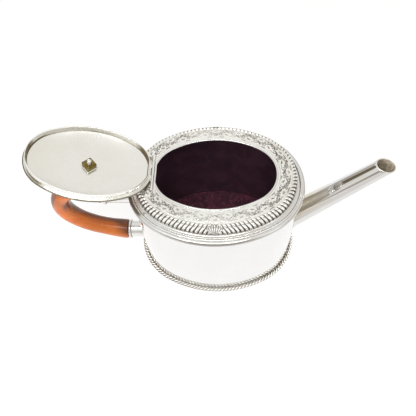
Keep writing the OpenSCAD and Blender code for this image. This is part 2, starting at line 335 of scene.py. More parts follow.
def finish_mesh(me, angle):
    me.polygons.foreach_set("use_smooth", np.ones(len(me.polygons), bool))
    me.set_sharp_from_angle(angle=math.radians(angle))
    me.update()


def cut_away(ob, cutter_geo, angle):
    """Takes the cutter's volume out of a piece."""
    me = cutter_geo.mesh("cutter")
    tool = bpy.data.objects.new("cutter", me)
    bpy.context.scene.collection.objects.link(tool)
    mod = ob.modifiers.new("cut", "BOOLEAN")
    mod.operation, mod.object, mod.solver = "DIFFERENCE", tool, "EXACT"
    dg = bpy.context.evaluated_depsgraph_get()
    new = bpy.data.meshes.new_from_object(ob.evaluated_get(dg), depsgraph=dg)
    ob.modifiers.clear()
    old = ob.data
    name = old.name
    ob.data = new
    bpy.data.meshes.remove(old)
    new.name = name
    bpy.data.objects.remove(tool)
    bpy.data.meshes.remove(me)
    while len(new.materials) > 1:
        new.materials.pop(index=1)
    new.polygons.foreach_set("material_index", np.zeros(len(new.polygons), np.int32))
    finish_mesh(new, angle)


def coords(me):
    co = np.zeros(len(me.vertices) * 3, np.float32)
    me.vertices.foreach_get("co", co)
    return co.reshape(-1, 3) / MM


def mark(me, name, values):
    if name in me.attributes:
        me.attributes.remove(me.attributes[name])
    me.attributes.new(name, "FLOAT", "POINT").data.foreach_set("value", np.asarray(values, np.float32))


# ------------------------------------------------------------------ materials
class Tree:
    def __init__(self, name):
        self.mat = bpy.data.materials.new(name)
        self.mat.use_nodes = True
        self.nt = self.mat.node_tree
        self.nt.nodes.clear()
        self.out = self.new("ShaderNodeOutputMaterial")
        self.bsdf = self.new("ShaderNodeBsdfPrincipled")
        self.link(self.bsdf.outputs["BSDF"], self.out.inputs["Surface"])
        self.pos = self.new("ShaderNodeTexCoord").outputs["Object"]

    def new(self, kind, **props):
        n = self.nt.nodes.new(kind)
        for k, v in props.items():
            setattr(n, k, v)
        return n

    def link(self, a, b):
        self.nt.links.new(a, b)

    def put(self, socket, v):
        if hasattr(v, "links"):
            self.link(v, socket)
        else:
            socket.default_value = v

    def math(self, op, a, b=0.0, clamp=False):
        n = self.new("ShaderNodeMath", operation=op, use_clamp=clamp)
        self.put(n.inputs[0], a)
        self.put(n.inputs[1], b)
        return n.outputs[0]

    def span(self, v, a, b, c=0.0, d=1.0):
        n = self.new("ShaderNodeMapRange", clamp=True, interpolation_type="SMOOTHSTEP")
        for i, q in enumerate((v, a, b, c, d)):
            self.put(n.inputs[i], q)
        return n.outputs[0]

    def mix(self, f, a, b, blend="MIX"):
        n = self.new("ShaderNodeMix", data_type="RGBA", blend_type=blend)
        self.put(n.inputs["Factor"], f)
        self.put(n.inputs[6], a)
        self.put(n.inputs[7], b)
        return n.outputs[2]

    def noise(self, scale, detail=3.0, rough=0.5, stretch=None, rot=(0, 0, 0), distort=0.0, vec=None):
        v = self.pos if vec is None else vec
        if stretch:
            m = self.new("ShaderNodeMapping")
            m.inputs["Scale"].default_value = stretch
            m.inputs["Rotation"].default_value = rot
            self.link(v, m.inputs["Vector"])
            v = m.outputs[0]
        n = self.new("ShaderNodeTexNoise", noise_dimensions="3D")
        self.link(v, n.inputs["Vector"])
        for k, q in (("Scale", scale), ("Detail", detail), ("Roughness", rough), ("Distortion", distort)):
            n.inputs[k].default_value = q
        return n.outputs["Fac"]

    def attr(self, name):
        return self.new("ShaderNodeAttribute", attribute_name=name).outputs["Fac"]

    def bump(self, layers):
        normal = None
        for height, dist, strength in layers:
            b = self.new("ShaderNodeBump")
            b.inputs["Strength"].default_value = strength
            b.inputs["Distance"].default_value = dist
            self.link(height, b.inputs["Height"])
            if normal is not None:
                self.link(normal, b.inputs["Normal"])
            normal = b.outputs[0]
        self.link(normal, self.bsdf.inputs["Normal"])

    def set(self, **kw):
        for k, v in kw.items():
            self.put(self.bsdf.inputs[k.replace("_", " ")], v)


def rgb(r, g, b):
    return (r, g, b, 1.0)


def silver(name, bright, tarnish, rough, scratch=0.25, wave=1.0, groove=None, groove_to=0.85, inner=False, gilt=None, fine_bump=0.35):
    """Polished silver: slow waviness of worked sheet, fine polishing scratches, a breath of warm tarnish."""
    t = Tree(name)
    slow = t.noise(38, 2.0, 0.5)
    cloud = t.noise(95, 4.0, 0.6, distort=0.4)
    scr_a = t.noise(900, 2.0, 0.7, stretch=(1.0, 0.07, 0.5), rot=(0.2, 0.1, 0.5))
    scr_b = t.noise(1100, 2.0, 0.7, stretch=(0.06, 1.0, 0.4), rot=(0.5, 0.3, -0.4))
    fine = t.math("MAXIMUM", t.span(scr_a, 0.6, 0.75), t.span(scr_b, 0.62, 0.78))
    col = t.mix(t.span(cloud, 0.42, 0.75, 0.0, 0.55), bright, tarnish)
    r = t.math("ADD", t.span(slow, 0.3, 0.7, rough * 0.8, rough * 1.35), t.math("MULTIPLY", fine, scratch * 0.3))
    metal = None
    if gilt is not None:
        col = t.mix(t.math("MULTIPLY", t.attr("gold"), t.span(cloud, 0.25, 0.7, 0.55, 1.0)), col, gilt)
    if groove is not None:
        # painted shade and reflection: the shade attribute mixes the colour toward grey as painted shade; the groove
        # attribute darkens it for real dirt in recesses and, on some pieces, for painted shade and dark reflections
        col = t.mix(t.math("MULTIPLY", t.attr("shade"), t.span(slow, 0.25, 0.75, 0.85, 1.0)), col, rgb(0.30, 0.27, 0.235))
        g = t.attr("groove")
        dirt_and_painted_shade = t.span(t.math("ADD", g, t.math("MULTIPLY", t.math("SUBTRACT", cloud, 0.5), 0.5)), 0.25, 0.95, 0.0, groove_to)
        col = t.mix(dirt_and_painted_shade, col, groove)
        r = t.math("ADD", r, t.math("MULTIPLY", dirt_and_painted_shade, 0.3))
    if inner:
        # tea stain inside the pot
        i = t.attr("inner")
        speck = t.noise(420, 4.0, 0.7)
        patch = t.noise(60, 3.0, 0.6, distort=0.6)
        stain = t.mix(t.span(patch, 0.35, 0.7), rgb(0.088, 0.045, 0.066), rgb(0.15, 0.068, 0.105))
        stain = t.mix(t.math("MULTIPLY", t.span(speck, 0.58, 0.72), 0.5), stain, rgb(0.36, 0.14, 0.16))
        col = t.mix(i, col, stain)
        r = t.math("ADD", t.math("MULTIPLY", r, t.math("SUBTRACT", 1.0, i)), t.math("MULTIPLY", i, t.span(speck, 0.3, 0.7, 0.34, 0.62)))
        metal = t.math("SUBTRACT", 1.0, t.math("MULTIPLY", i, 0.75))
    t.set(Base_Color=col, Roughness=r)
    if metal is None:
        t.set(Metallic=1.0)
    else:
        t.set(Metallic=metal)
    t.bump([(slow, 0.00006 * wave, 0.6), (fine, 0.000006, fine_bump)])
    return t.mat


BRIGHT = rgb(0.81, 0.807, 0.80)
WARM = rgb(0.835, 0.824, 0.795)
TARN = rgb(0.82, 0.79, 0.73)
# dark colour for dirt in recesses; on the gadroons it also carries the painted shade at the ends of the oval
DIRT_AND_SHADE = rgb(0.075, 0.058, 0.042)
BROWN = rgb(0.11, 0.08, 0.042)


# painted light and shade: all these pieces are one polished silver, but each gets its own base brightness, from 0.81 on
# the body to 0.975 on the bezel, to set how light or dark it looks
M_BODY = silver("polished_body", BRIGHT, WARM, 0.07, inner=True)
M_MOULD = silver("polished_mouldings", BRIGHT, TARN, 0.17, groove=BROWN, groove_to=0.88, inner=True, wave=0.2, fine_bump=0.12)
M_ORN = silver("chased_ornament", rgb(0.94, 0.93, 0.90), TARN, 0.15, groove=DIRT_AND_SHADE, groove_to=0.96, inner=True, wave=0.7)
M_ROPE = silver("rope_border_silver", rgb(0.95, 0.945, 0.925), rgb(0.90, 0.875, 0.82), 0.2, groove=rgb(0.20, 0.165, 0.11), groove_to=0.78, wave=0.4, fine_bump=0.15)
M_PLATE = silver("engraved_shoulder", rgb(0.97, 0.963, 0.93), rgb(0.92, 0.895, 0.83), 0.2, groove=rgb(0.10, 0.08, 0.06), groove_to=0.9, inner=True, wave=0.7)
M_LID = silver("lid_inside", rgb(0.885, 0.875, 0.835), rgb(0.855, 0.835, 0.775), 0.26, scratch=0.4, groove=rgb(0.10, 0.078, 0.024), wave=0.16, fine_bump=0.08)
M_BEZEL = silver("lid_bezel_silver", rgb(0.975, 0.97, 0.94), rgb(0.95, 0.93, 0.88), 0.24, scratch=0.4, groove=rgb(0.17, 0.12, 0.035), groove_to=0.95, wave=0.16, fine_bump=0.08)
M_SPOUT = silver("spout_silver", BRIGHT, TARN, 0.09, groove=rgb(0.20, 0.15, 0.08), groove_to=0.7, gilt=rgb(0.64, 0.55, 0.38), wave=0.3)
M_HARD = silver("satin_fittings", rgb(0.92, 0.915, 0.89), rgb(0.80, 0.765, 0.68), 0.22, groove=DIRT_AND_SHADE, scratch=0.6)


def bore_material():
    t = Tree("spout_bore")
    n = t.noise(260, 4.0, 0.6, distort=0.5)
    col = t.mix(t.span(n, 0.35, 0.7), rgb(0.40, 0.33, 0.24), rgb(0.78, 0.70, 0.57))
    t.set(Base_Color=col, Roughness=t.span(n, 0.3, 0.7, 0.35, 0.55), Metallic=0.45)
    t.bump([(n, 0.0002, 0.5)])
    return t.mat


def base_material():
    """Underside of the pot: softer, with stains and wear from standing."""
    t = Tree("base_underside")
    cloud = t.noise(45, 5.0, 0.6, distort=0.8)
    scr = t.noise(700, 3.0, 0.7, stretch=(1.0, 0.05, 1.0), rot=(0, 0, 0.6))
    scr2 = t.noise(800, 3.0, 0.7, stretch=(0.05, 1.0, 1.0), rot=(0, 0, 0.3))
    fine = t.math("MAXIMUM", t.span(scr, 0.56, 0.7), t.span(scr2, 0.58, 0.72))
    i = t.attr("inner")
    col = t.mix(t.span(cloud, 0.35, 0.7), rgb(0.84, 0.82, 0.77), rgb(0.62, 0.56, 0.45))
    speck = t.noise(420, 4.0, 0.75)
    patch = t.noise(52, 3.0, 0.6, distort=0.6)
    stain = t.mix(t.span(patch, 0.35, 0.7), rgb(0.085, 0.030, 0.054), rgb(0.20, 0.052, 0.092))
    stain = t.mix(t.math("MULTIPLY", t.span(speck, 0.5, 0.66), 0.75), stain, rgb(0.42, 0.13, 0.16))
    col = t.mix(i, col, stain)
    rough = t.math("ADD", t.span(cloud, 0.3, 0.7, 0.22, 0.42), t.math("MULTIPLY", fine, 0.15))
    t.set(Base_Color=col, Roughness=rough, Metallic=t.math("SUBTRACT", 1.0, t.math("MULTIPLY", i, 0.8)))
    t.bump([(cloud, 0.00008, 0.5), (fine, 0.00001, 0.5)])
    return t.mat


def wood_material():
    """Polished fruitwood: straight plank grain, fine pores, dark stain where it meets the silver, and painted shade
    from the same stain attribute.
    """
    t = Tree("fruitwood")
    warp = t.noise(26, 2.0, 0.5)
    figure = t.noise(190, 4.0, 0.6, stretch=(0.16, 1.0, 0.9), rot=(0, 0.55, 0), distort=0.7)
    fine = t.noise(900, 3.0, 0.65, stretch=(0.06, 1.0, 0.8), rot=(0, 0.55, 0))
    pores = t.span(t.noise(2100, 2.0, 0.6, stretch=(0.05, 1.0, 1.0), rot=(0, 0.55, 0)), 0.62, 0.75)
    col = t.mix(t.span(figure, 0.3, 0.7), rgb(0.86, 0.218, 0.024), rgb(0.66, 0.130, 0.011))
    col = t.mix(t.span(fine, 0.35, 0.7, 0.0, 0.45), col, rgb(0.86, 0.28, 0.045))
    col = t.mix(t.span(warp, 0.4, 0.75, 0.0, 0.35), col, rgb(0.25, 0.058, 0.010))
    col = t.mix(t.math("MULTIPLY", pores, 0.5), col, rgb(0.10, 0.03, 0.012))
    # the stain attribute holds both the real stain and painted shade, and darkens the wood for both
    dark = t.attr("stain")
    col = t.mix(t.math("MULTIPLY", dark, t.span(figure, 0.2, 0.8, 1.0, 0.75)), col, rgb(0.055, 0.018, 0.008))
    t.set(Base_Color=col, Roughness=t.span(fine, 0.3, 0.7, 0.34, 0.5), Specular_IOR_Level=0.12,
          Coat_Weight=0.8, Coat_Roughness=0.2, Coat_IOR=1.5)
    t.bump([(figure, 0.00012, 0.4), (fine, 0.00004, 0.5), (pores, -0.00003, 0.6)])
    return t.mat


def brass_material():
    t = Tree("worn_brass")
    n = t.noise(520, 4.0, 0.6)
    scr = t.span(t.noise(1500, 2.0, 0.7, stretch=(1.0, 0.08, 1.0)), 0.55, 0.72)
    col = t.mix(t.span(n, 0.4, 0.7), rgb(0.25, 0.185, 0.052), rgb(0.13, 0.09, 0.022))
    col = t.mix(t.math("MULTIPLY", scr, 0.3), col, rgb(0.62, 0.52, 0.30))
    t.set(Base_Color=col, Roughness=t.math("ADD", t.span(n, 0.3, 0.7, 0.2, 0.42), t.math("MULTIPLY", scr, 0.1)), Metallic=1.0)
    t.bump([(n, 0.00006, 0.6), (scr, 0.00001, 0.5)])
    return t.mat


M_BORE, M_BASE, M_WOOD, M_BRASS = bore_material(), base_material(), wood_material(), brass_material()

# ------------------------------------------------------------------ wall, base, foot
ST = stations(960, 19.3)

g = Geo()
ring(g, ST, rounded([(WALL_IN, 4.6, 0.15), (WALL, 4.6, 0.2), (WALL, BAND, 0.2), (WALL_IN, BAND, 0.15)]))
wall = piece("pot_wall", g, "pot", M_BODY, ["body_wall"])
holes = Geo()
strainer_z = 43.9 - (66.1 - A - WALL) * math.tan(math.radians(49))
for row in range(-2, 3):
    cnt = 4 - abs(row)
    for i in range(cnt):
        lathe(holes, [(1.2, 0), (1.2, 20)], 20, (A + WALL - 12, (i - (cnt - 1) / 2) * 4.2, strainer_z + row * 4.2),
              (1, 0, 0), (0, 0, 1))
cut_away(wall, holes, 32)
co = coords(wall.data)
mark(wall.data, "inner", np.clip((18.75 - offset_of(co[:, 0], co[:, 1])) / 0.3, 0, 1))

g = Geo()
fractions = [1.0, 0.998, 0.9, 0.75, 0.6, 0.45, 0.3, 0.15]
sb = stations(480, 19.3)
edge = at(sb, [WALL_IN], [0.0])[:, 0]
rows = []
for z, fr in [(1.2, fractions[::-1]), (0.0, fractions)]:
    for f in fr:
        q = edge * f
        q[:, 2] = z
        rows.append(q)
p = np.stack(rows[::-1], 1)
n, m = p.shape[:2]
i = np.arange(n)
faces = [quads(n, m, True), ]
verts = p.reshape(-1, 3)
verts = np.vstack([verts, [[0, 0, 0]], [[0, 0, 1.2]]])
faces.append(np.stack([i * m, np.full(n, len(verts) - 2), (i + 1) % n * m], 1))
faces.append(np.stack([i * m + m - 1, (i + 1) % n * m + m - 1, np.full(n, len(verts) - 1)], 1))
g.add(verts, faces, inner=(verts[:, 2] > 0.6).astype(float))
piece("pot_base", g, "pot", M_BASE, ["base_plate"])

g = Geo()
ring(g, ST, rounded([(WALL_IN, 0, 0.1), (19.5, 0, 0.25), (19.8, 0.4, 0.3), (19.8, 4.15, 0.35), (19.45, 4.6, 0.15), (WALL_IN, 4.6, 0.1)]))
foot = piece("foot_strip_piece", g, "pot", M_MOULD, ["foot_strip"])
co = coords(foot.data)
off = offset_of(co[:, 0], co[:, 1])
mark(foot.data, "inner", (off < 18.3).astype(float))
mark(foot.data, "groove", np.clip((co[:, 2] - 4.05) / 0.15, 0, 1) * (off > 18.6) * (0.72 + 0.28 * np.clip((np.abs(co[:, 0]) - 25) / 25, 0, 1)))

# twisted rope of three strands
CROWNS = 126
st = stations(CROWNS * 12, 20.95)
phi = np.arange(36) / 36 * 2 * PI
tau = 2 * PI * (CROWNS // 3) * st["s"] / st["len"]
delta = (phi[None, :] - tau[:, None] + PI / 3) % (2 * PI / 3) - PI / 3
ra, rc = 0.93, 0.84
rr = rc * np.cos(delta) + np.sqrt(np.maximum(ra ** 2 - (rc * np.sin(delta)) ** 2, 0.01))
p = at(st, 20.93 + rr * np.cos(phi), np.maximum(2.2 + rr * np.sin(phi), 0.32))
g = Geo()
g.add(p, quads(p.shape[0], 36, True, True), groove=np.clip((1.53 - rr) / 0.14, 0, 1))
piece("rope_wire", g, "pot", M_ROPE, ["rope_border"], angle=60)

# ------------------------------------------------------------------ shoulder mouldings
z = BAND
prof = np.vstack([
    [[18.1, z]],
    rounded([(18.2, z, 0), (21.1, z, 0.25), (21.3, z + 0.3, 0)], closed=False),
    cubic([(21.36, z + 0.42), (21.78, z + 1.1), (21.98, z + 2.0), (21.72, z + 2.95), (21.0, z + 3.65), (19.95, z + 4.03)], 24),
    [[19.72, z + 4.05]],
    arc(18.8, z + 4.35, 0.85, 0.85, -20.7, 200.7, 22),
    [[17.75, z + 4.05]],
    arc(17.5, 87.0, 2.65, 1.25, 270, 184, 14),
    [[14.8, 87.0], [13.4, 87.0], [13.4, z + 4.3], [15.4, z + 3.0], [17.0, z + 2.8], [18.1, z + 1.8]],
])
g = ring(Geo(), stations(960, 19.0), prof)
band = piece("shoulder_moulding", g, "pot", M_MOULD, ["shoulder_band"], angle=38)
co = coords(band.data)
off = offset_of(co[:, 0], co[:, 1])
inside = ((off < 18.3) & (co[:, 2] < z + 4.0)) | (off < 13.5)
mark(band.data, "inner", inside.astype(float))
gr = np.exp(-((off - 19.66) / 0.16) ** 2) * 0.55 + np.exp(-((off - 17.9) / 0.16) ** 2) * 0.6 + np.exp(-((off - 14.9) / 0.2) ** 2) * 0.6
# painted dark reflection in a crescent at each side of the hinge end
turn = np.degrees(np.arctan2(np.abs(co[:, 1]), -co[:, 0] - D))
painted_dark_reflection = np.clip((44 - turn) / 8, 0, 1) * (co[:, 0] < -D) * np.clip((off - 19.3) / 0.3, 0, 1) * np.clip((21.95 - 0.045 * np.clip(turn - 18, 0, 40) - off) / 0.25, 0, 1) * (co[:, 2] > z + 1.2)
mark(band.data, "groove", np.maximum(np.clip(gr, 0, 1) * (co[:, 2] > z + 3.7), painted_dark_reflection) * ~inside)
belly = np.clip((co[:, 2] - z - 0.5) / 0.7, 0, 1) * np.clip((z + 4.0 - co[:, 2]) / 0.5, 0, 1) * (off > 19.5)
cove = 1.25 * np.exp(-((off - 16.0) / 1.3) ** 2) * (co[:, 2] > z + 3.7)
mark(band.data, "shade", np.clip((0.85 * belly + 0.42 * cove) * (1 - 0.65 * np.clip((np.abs(co[:, 0]) - 16) / 24, 0, 1)), 0, 1) * ~inside)

# gadroons: convex S-shaped lobes that lean to the middle of the front, with a shell there
LOBES = 108
st = stations(LOBES * 16, 14.0)
H = MOUTH
outer = cubic([(14.8, H - 9.8), (14.75, H - 8.2), (14.6, H - 6.6), (14.3, H - 4.6), (13.9, H - 2.9), (13.3, H - 1.7), (12.6, H - 1.0), (11.8, H - 0.7)], 34)
d = np.gradient(outer, axis=0)
nrm = np.stack([d[:, 1], -d[:, 0]], 1) / np.linalg.norm(d, axis=1)[:, None]
run = np.r_[0, np.cumsum(np.linalg.norm(np.diff(outer, axis=0), axis=1))]
pp = run / run[-1]
length = st["len"]
s = st["s"]
signed = np.where(s > length / 2, s - length, s)
rear = np.where(signed > 0, signed - length / 2, signed + length / 2)
dist = np.abs(signed)
lean = 4.6 * (0.45 * pp + 0.55 * pp ** 2)
pitch = length / LOBES
phase = (dist[:, None] + lean[None, :]) / pitch
x = phase % 1.0
lobe = np.sqrt(np.maximum(1 - (2 * x - 1) ** 2, 0.0))
taper = np.sin(PI / 2 * np.clip(pp / 0.12, 0, 1)) ** 0.7 * np.sin(PI / 2 * np.clip((1 - pp) / 0.13, 0, 1)) ** 0.8
amp = 0.95
h = amp * lobe * taper[None, :]
deep = (2.1 - 0.3 * pp)[None, :]
# painted shade: the gaps between the lobes are drawn darker towards both ends of the oval
ends = np.clip((np.abs(at(st, [0.0], [0.0])[:, 0, 0]) - 26) / 22, 0, 1)[:, None]
groove = np.clip(deep + 0.42 * ends - lobe * 1.95 + 0.15 * (x - 0.5), 0, 1) * (0.6 + 0.4 * taper[None, :])
# punched pearls between the lower ends of the lobes
px = (x + 0.5) % 1.0 - 0.5
pit = np.hypot(px * pitch, (pp[None, :] - 0.045) * run[-1])
groove = np.maximum(groove, np.clip(1.4 - pit / 0.42, 0, 1))
h = h - 0.22 * np.clip(1 - (pit / 0.55) ** 2, 0, 1)


def shell(h, groove, sx):
    """A fan shell of nine petals over the border, at arc position sx = 0."""
    yy = pp[None, :] * run[-1]
    xx = sx[:, None]
    ang = np.arctan2(xx, yy + 1.2)
    rad = np.hypot(xx, yy + 1.2)
    wide = math.radians(36)
    petal = (ang / wide * 3.5 + 0.5) % 1.0 - 0.5
    edge = 11.0 + 0.45 * np.cos(2 * PI * petal) - 1.6 * (ang / wide) ** 2
    inside = (np.abs(ang) < wide) & (rad < edge)
    ridge = np.sqrt(np.maximum(1 - (2 * petal) ** 2, 0))
    fall = np.clip((edge - rad) / 0.8, 0, 1) ** 0.5
    hh = (0.3 + 0.75 * ridge * np.clip(rad / 5, 0.3, 1)) * fall
    gg = np.clip(1.9 - ridge * 1.9, 0, 1)
    gg = np.maximum(gg, np.clip(1.5 - np.abs(edge - rad) / 0.5, 0, 1))
    return np.where(inside, hh, h), np.where(inside, gg, groove), inside


h, groove, in_f = shell(h, groove, signed)
h, groove, in_r = shell(h, groove, rear)
off = outer[None, :, 0] + h * nrm[None, :, 0]
zz = outer[None, :, 1] + h * nrm[None, :, 1]
inner_prof = np.array([(12.3, H - 2.3), (12.9, H - 4.6), (13.3, H - 7.0), (13.4, H - 9.8)])
off = np.concatenate([off, np.broadcast_to(inner_prof[:, 0], (len(s), 4))], 1)
zz = np.concatenate([zz, np.broadcast_to(inner_prof[:, 1], (len(s), 4))], 1)
p = at(st, off, zz)
gv = np.concatenate([groove, np.zeros((len(s), 4))], 1)
iv = np.concatenate([np.zeros_like(groove), np.ones((len(s), 4))], 1)
g = Geo().add(p, quads(p.shape[0], p.shape[1], True, True), groove=gv, inner=iv)
piece("gadroons", g, "pot", M_ORN, ["gadroon_border"], angle=70)

# ------------------------------------------------------------------ engraved shoulder
REF = 6.7
NS, NO = 1480, 56
st = stations(NS, REF)
LP = st["len"]
offs = np.linspace(1.6, 11.8, NO)
top = cubic([(1.6, H - 0.6), (3.4, H - 0.2), (5.6, H), (8.0, H), (10.0, H - 0.25), (11.8, H - 0.7)], 400)
top_z = np.interp(offs, top[:, 0], top[:, 1])
cut = np.zeros((NS, NO))
ds, do = LP / NS, offs[1] - offs[0]


def stamp(path, widths, depth=1.0):
    """Cuts a stroke along path [(s, off)] with a width for each point."""
    path = np.asarray(path, float)
    seg = np.linalg.norm(np.diff(path, axis=0), axis=1)
    t = np.r_[0, np.cumsum(seg)]
    n = max(3, int(t[-1] / 0.11))
    q = np.linspace(0, t[-1], n)
    ps, po, pw = (np.interp(q, t, v) for v in (path[:, 0], path[:, 1], widths))
    for a, b, w in zip(ps, po, pw):
        r = 0.82 * w + 0.15
        i0, i1 = math.floor((a - r) / ds), math.ceil((a + r) / ds)
        j0, j1 = max(0, math.floor((b - r - 1.6) / do)), min(NO - 1, math.ceil((b + r - 1.6) / do))
        if j1 < j0:
            continue
        ii, jj = np.arange(i0, i1 + 1), np.arange(j0, j1 + 1)
        dd = np.hypot((ii * ds - a)[:, None], (1.6 + jj * do - b)[None, :])
        val = np.clip((r - dd) / 0.17, 0, 1) * depth * min(1.0, w / 0.12 + 0.3)
        ix = np.ix_(ii % NS, jj)
        cut[ix] = np.maximum(cut[ix], val)


def comma(s0, o0, ang, size, curl, width=0.2, sgn=1, n=9):
    """A leaf stroke: starts thin, swells, ends thin, bending as it goes."""
    path, a, ps, po = [], ang, s0, o0
    for k in range(n):
        path.append((ps, po))
        ps += sgn * math.cos(a) * size / n
        po += math.sin(a) * size / n
        a += curl / n
    w = [width * math.sin(PI * (0.12 + 0.8 * k / (n - 1))) for k in range(n)]
    stamp(path, w)


CELLS = 32
U = LP / CELLS
rng = np.random.default_rng(7)
for c in range(CELLS):
    half = c < CELLS // 2
    sgn = 1 if half else -1
    s0 = (c + (0 if half else 1)) * U
    up = 1 if (c if half else CELLS - 1 - c) % 2 == 0 else -1
    mid = 7.1

    def stem(t):
        return s0 + sgn * U * t, mid - up * 1.7 * math.cos(PI * t)
    # the stem is a slow wave, cut lightly and in two strokes
    for a, b in ((0.02, 0.46), (0.54, 0.98)):
        path = [stem(t) for t in np.linspace(a, b, 9)]
        stamp(path, [0.05 + 0.09 * math.sin(PI * k / 8) for k in range(9)], 0.8)
    # acanthus leaves off both sides of the stem, each a bright-cut comma with a vein
    for k in range(9):
        t = 0.04 + k * 0.107
        ps, po = stem(t)
        side = 1 if k % 2 == 0 else -1
        slope = up * 1.7 * PI / U * math.sin(PI * t)
        a = math.atan(slope) + side * (0.5 + 0.25 * rng.random())
        size = 1.7 + 1.0 * rng.random()
        ps, po = ps + 0.25 * sgn, po + side * 0.35
        comma(ps, po, a, size, -side * 1.0, 0.26, sgn)
        comma(ps + sgn * 0.5, po + side * 0.55, a + side * 0.25, size * 0.55, -side * 1.3, 0.16, sgn)
    # scroll curled into the hollow, with a small flower in it
    cs, cq = s0 + sgn * U * 0.5, mid + up * 1.55
    sp = []
    for t in np.linspace(0, 1, 20):
        r = 1.75 * (1 - 0.62 * t)
        a = -up * (PI / 2) + up * t * 2 * PI * 0.9
        sp.append((cs + sgn * r * math.cos(a), cq + r * math.sin(a)))
    stamp(sp, list(np.linspace(0.19, 0.08, 20)))
    for k in range(5):
        a = 2 * PI * k / 5 + 0.3
        comma(cs + 0.16 * math.cos(a), cq + 0.16 * math.sin(a), a, 0.55, 0.5, 0.13)
    # a spray of parallel strokes on the outer and inner sides of the scroll
    for k in range(5):
        comma(cs + sgn * (0.7 - 0.75 * k), cq + up * (1.75 + 0.12 * k), up * (1.0 - 0.25 * k), 1.25, -up * 1.3, 0.2, sgn)
    for k in range(4):
        comma(cs + sgn * (-2.3 + 1.15 * k), mid - up * (2.5 + 0.25 * math.sin(2.0 * k)), -up * (0.35 + 0.1 * k), 1.5, up * 0.9, 0.19, sgn)
# wriggle-work next to the gadroons
count = 168
for k in range(count):
    w = LP / count
    cx = (k + 0.5) * w
    stamp([(cx + 0.72 * math.cos(a), 10.95 - 0.75 * math.sin(a)) for a in np.linspace(0.15, PI - 0.15, 8)], [0.03, 0.06, 0.08, 0.09, 0.09, 0.08, 0.06, 0.03], 0.42)
# short strokes of shading scattered along the border, all nearly tangential
for k in range(1500):
    a = rng.normal(0.0, 0.22)
    ps, po, size = rng.random() * LP, 3.5 + 7.0 * rng.random(), 0.8 + 1.7 * rng.random()
    stamp([(ps, po), (ps + size * math.cos(a), po + size * math.sin(a) + 0.1), (ps + 1.6 * size * math.cos(a), po + 2 * size * math.sin(a))], [0.02, 0.10, 0.02], 0.6)
# bold triple cuts where two sprays meet
for c in range(CELLS):
    for k in range(3):
        comma(c * U + (k - 1) * 0.8, 4.6 + 0.25 * k, 1.15, 1.9, -0.9, 0.27, 1 if c < CELLS // 2 else -1)
        comma(c * U + (k - 1) * 0.8, 8.3 - 0.2 * k, 0.95, 1.7, 0.9, 0.24, 1 if c < CELLS // 2 else -1)
for line, w in ((2.5, 0.04), (3.1, 0.05), (11.3, 0.05)):
    cut = np.maximum(cut, np.clip((w + 0.14 - np.abs(offs[None, :] - line)) / 0.15, 0, 1) * 0.75)

dz = -0.11 * cut
bottom_z = top_z[[-1, 0]] - 1.25
off = np.concatenate([np.broadcast_to(offs, (NS, NO)), np.broadcast_to(offs[[-1, 0]], (NS, 2))], 1)
zz = np.concatenate([top_z[None, :] + dz, np.broadcast_to(bottom_z, (NS, 2))], 1)
p = at(st, off[:, ::-1], zz[:, ::-1])
g = Geo().add(p, quads(p.shape[0], p.shape[1], True, True))
plate = piece("engraved_plate", g, "pot", M_PLATE, ["shoulder_plate"], angle=50)
box = Geo()
prism(box, [(HINGE_X - 1.35, -15.8), (HINGE_X + 2.1, -15.8), (HINGE_X + 2.1, 15.8), (HINGE_X - 1.35, 15.8)], H - 3, H + 2, 0.01)
cut_away(plate, box, 50)
co = coords(plate.data)


def sample_cut(x, y):
    """Reads the engraving at points in plan."""
    end = np.abs(x) * C > D * (np.abs(y) + C)
    off = offset_of(x, y)
    ang = np.where(end, np.arctan2(y, x - np.sign(x) * D), np.arctan2(y + np.where(y < 0, -1, 1) * C, x))
    lens = np.array([(b - a) * (r + REF) for _, _, r, a, b in SEGS])
    starts = np.r_[0, np.cumsum(lens)]
    ang = np.where(ang < -PI / 2 - 1e-9, ang + 2 * PI, ang)
    k = np.where(end & (x > 0), 1, np.where(end, 3, np.where(y > 0, 2, np.where(x >= 0, 0, 4))))
    a0 = np.array([q[3] for q in SEGS])[k]
    rr = np.array([q[2] for q in SEGS])[k]
    s = starts[k] + (ang - a0) * (rr + REF)
    fi = s / ds
    fj = np.clip((off - 1.6) / do, 0, NO - 1.001)
    i0, j0 = np.floor(fi).astype(int), np.floor(fj).astype(int)
    u, v = fi - i0, fj - j0
    i0, i1 = i0 % NS, (i0 + 1) % NS
    return (cut[i0, j0] * (1 - u) * (1 - v) + cut[i1, j0] * u * (1 - v) + cut[i0, j0 + 1] * (1 - u) * v + cut[i1, j0 + 1] * u * v), off


val, off = sample_cut(co[:, 0], co[:, 1])
under = co[:, 2] < np.interp(off, top[:, 0], top[:, 1]) - 0.6
# painted shade: the engraved cuts are drawn darker towards both ends of the oval
ends = np.clip((np.abs(co[:, 0]) - 14) / 26, 0, 1) ** 1.2
mark(plate.data, "groove", np.where(under, 0, val * (0.74 + 0.40 * ends)))
mark(plate.data, "inner", under.astype(float))
mark(plate.data, "shade", 0.08 * np.clip((-co[:, 0] - 14) / 20, 0, 1) * np.clip((12 - co[:, 1]) / 20, 0, 1) * ~under)

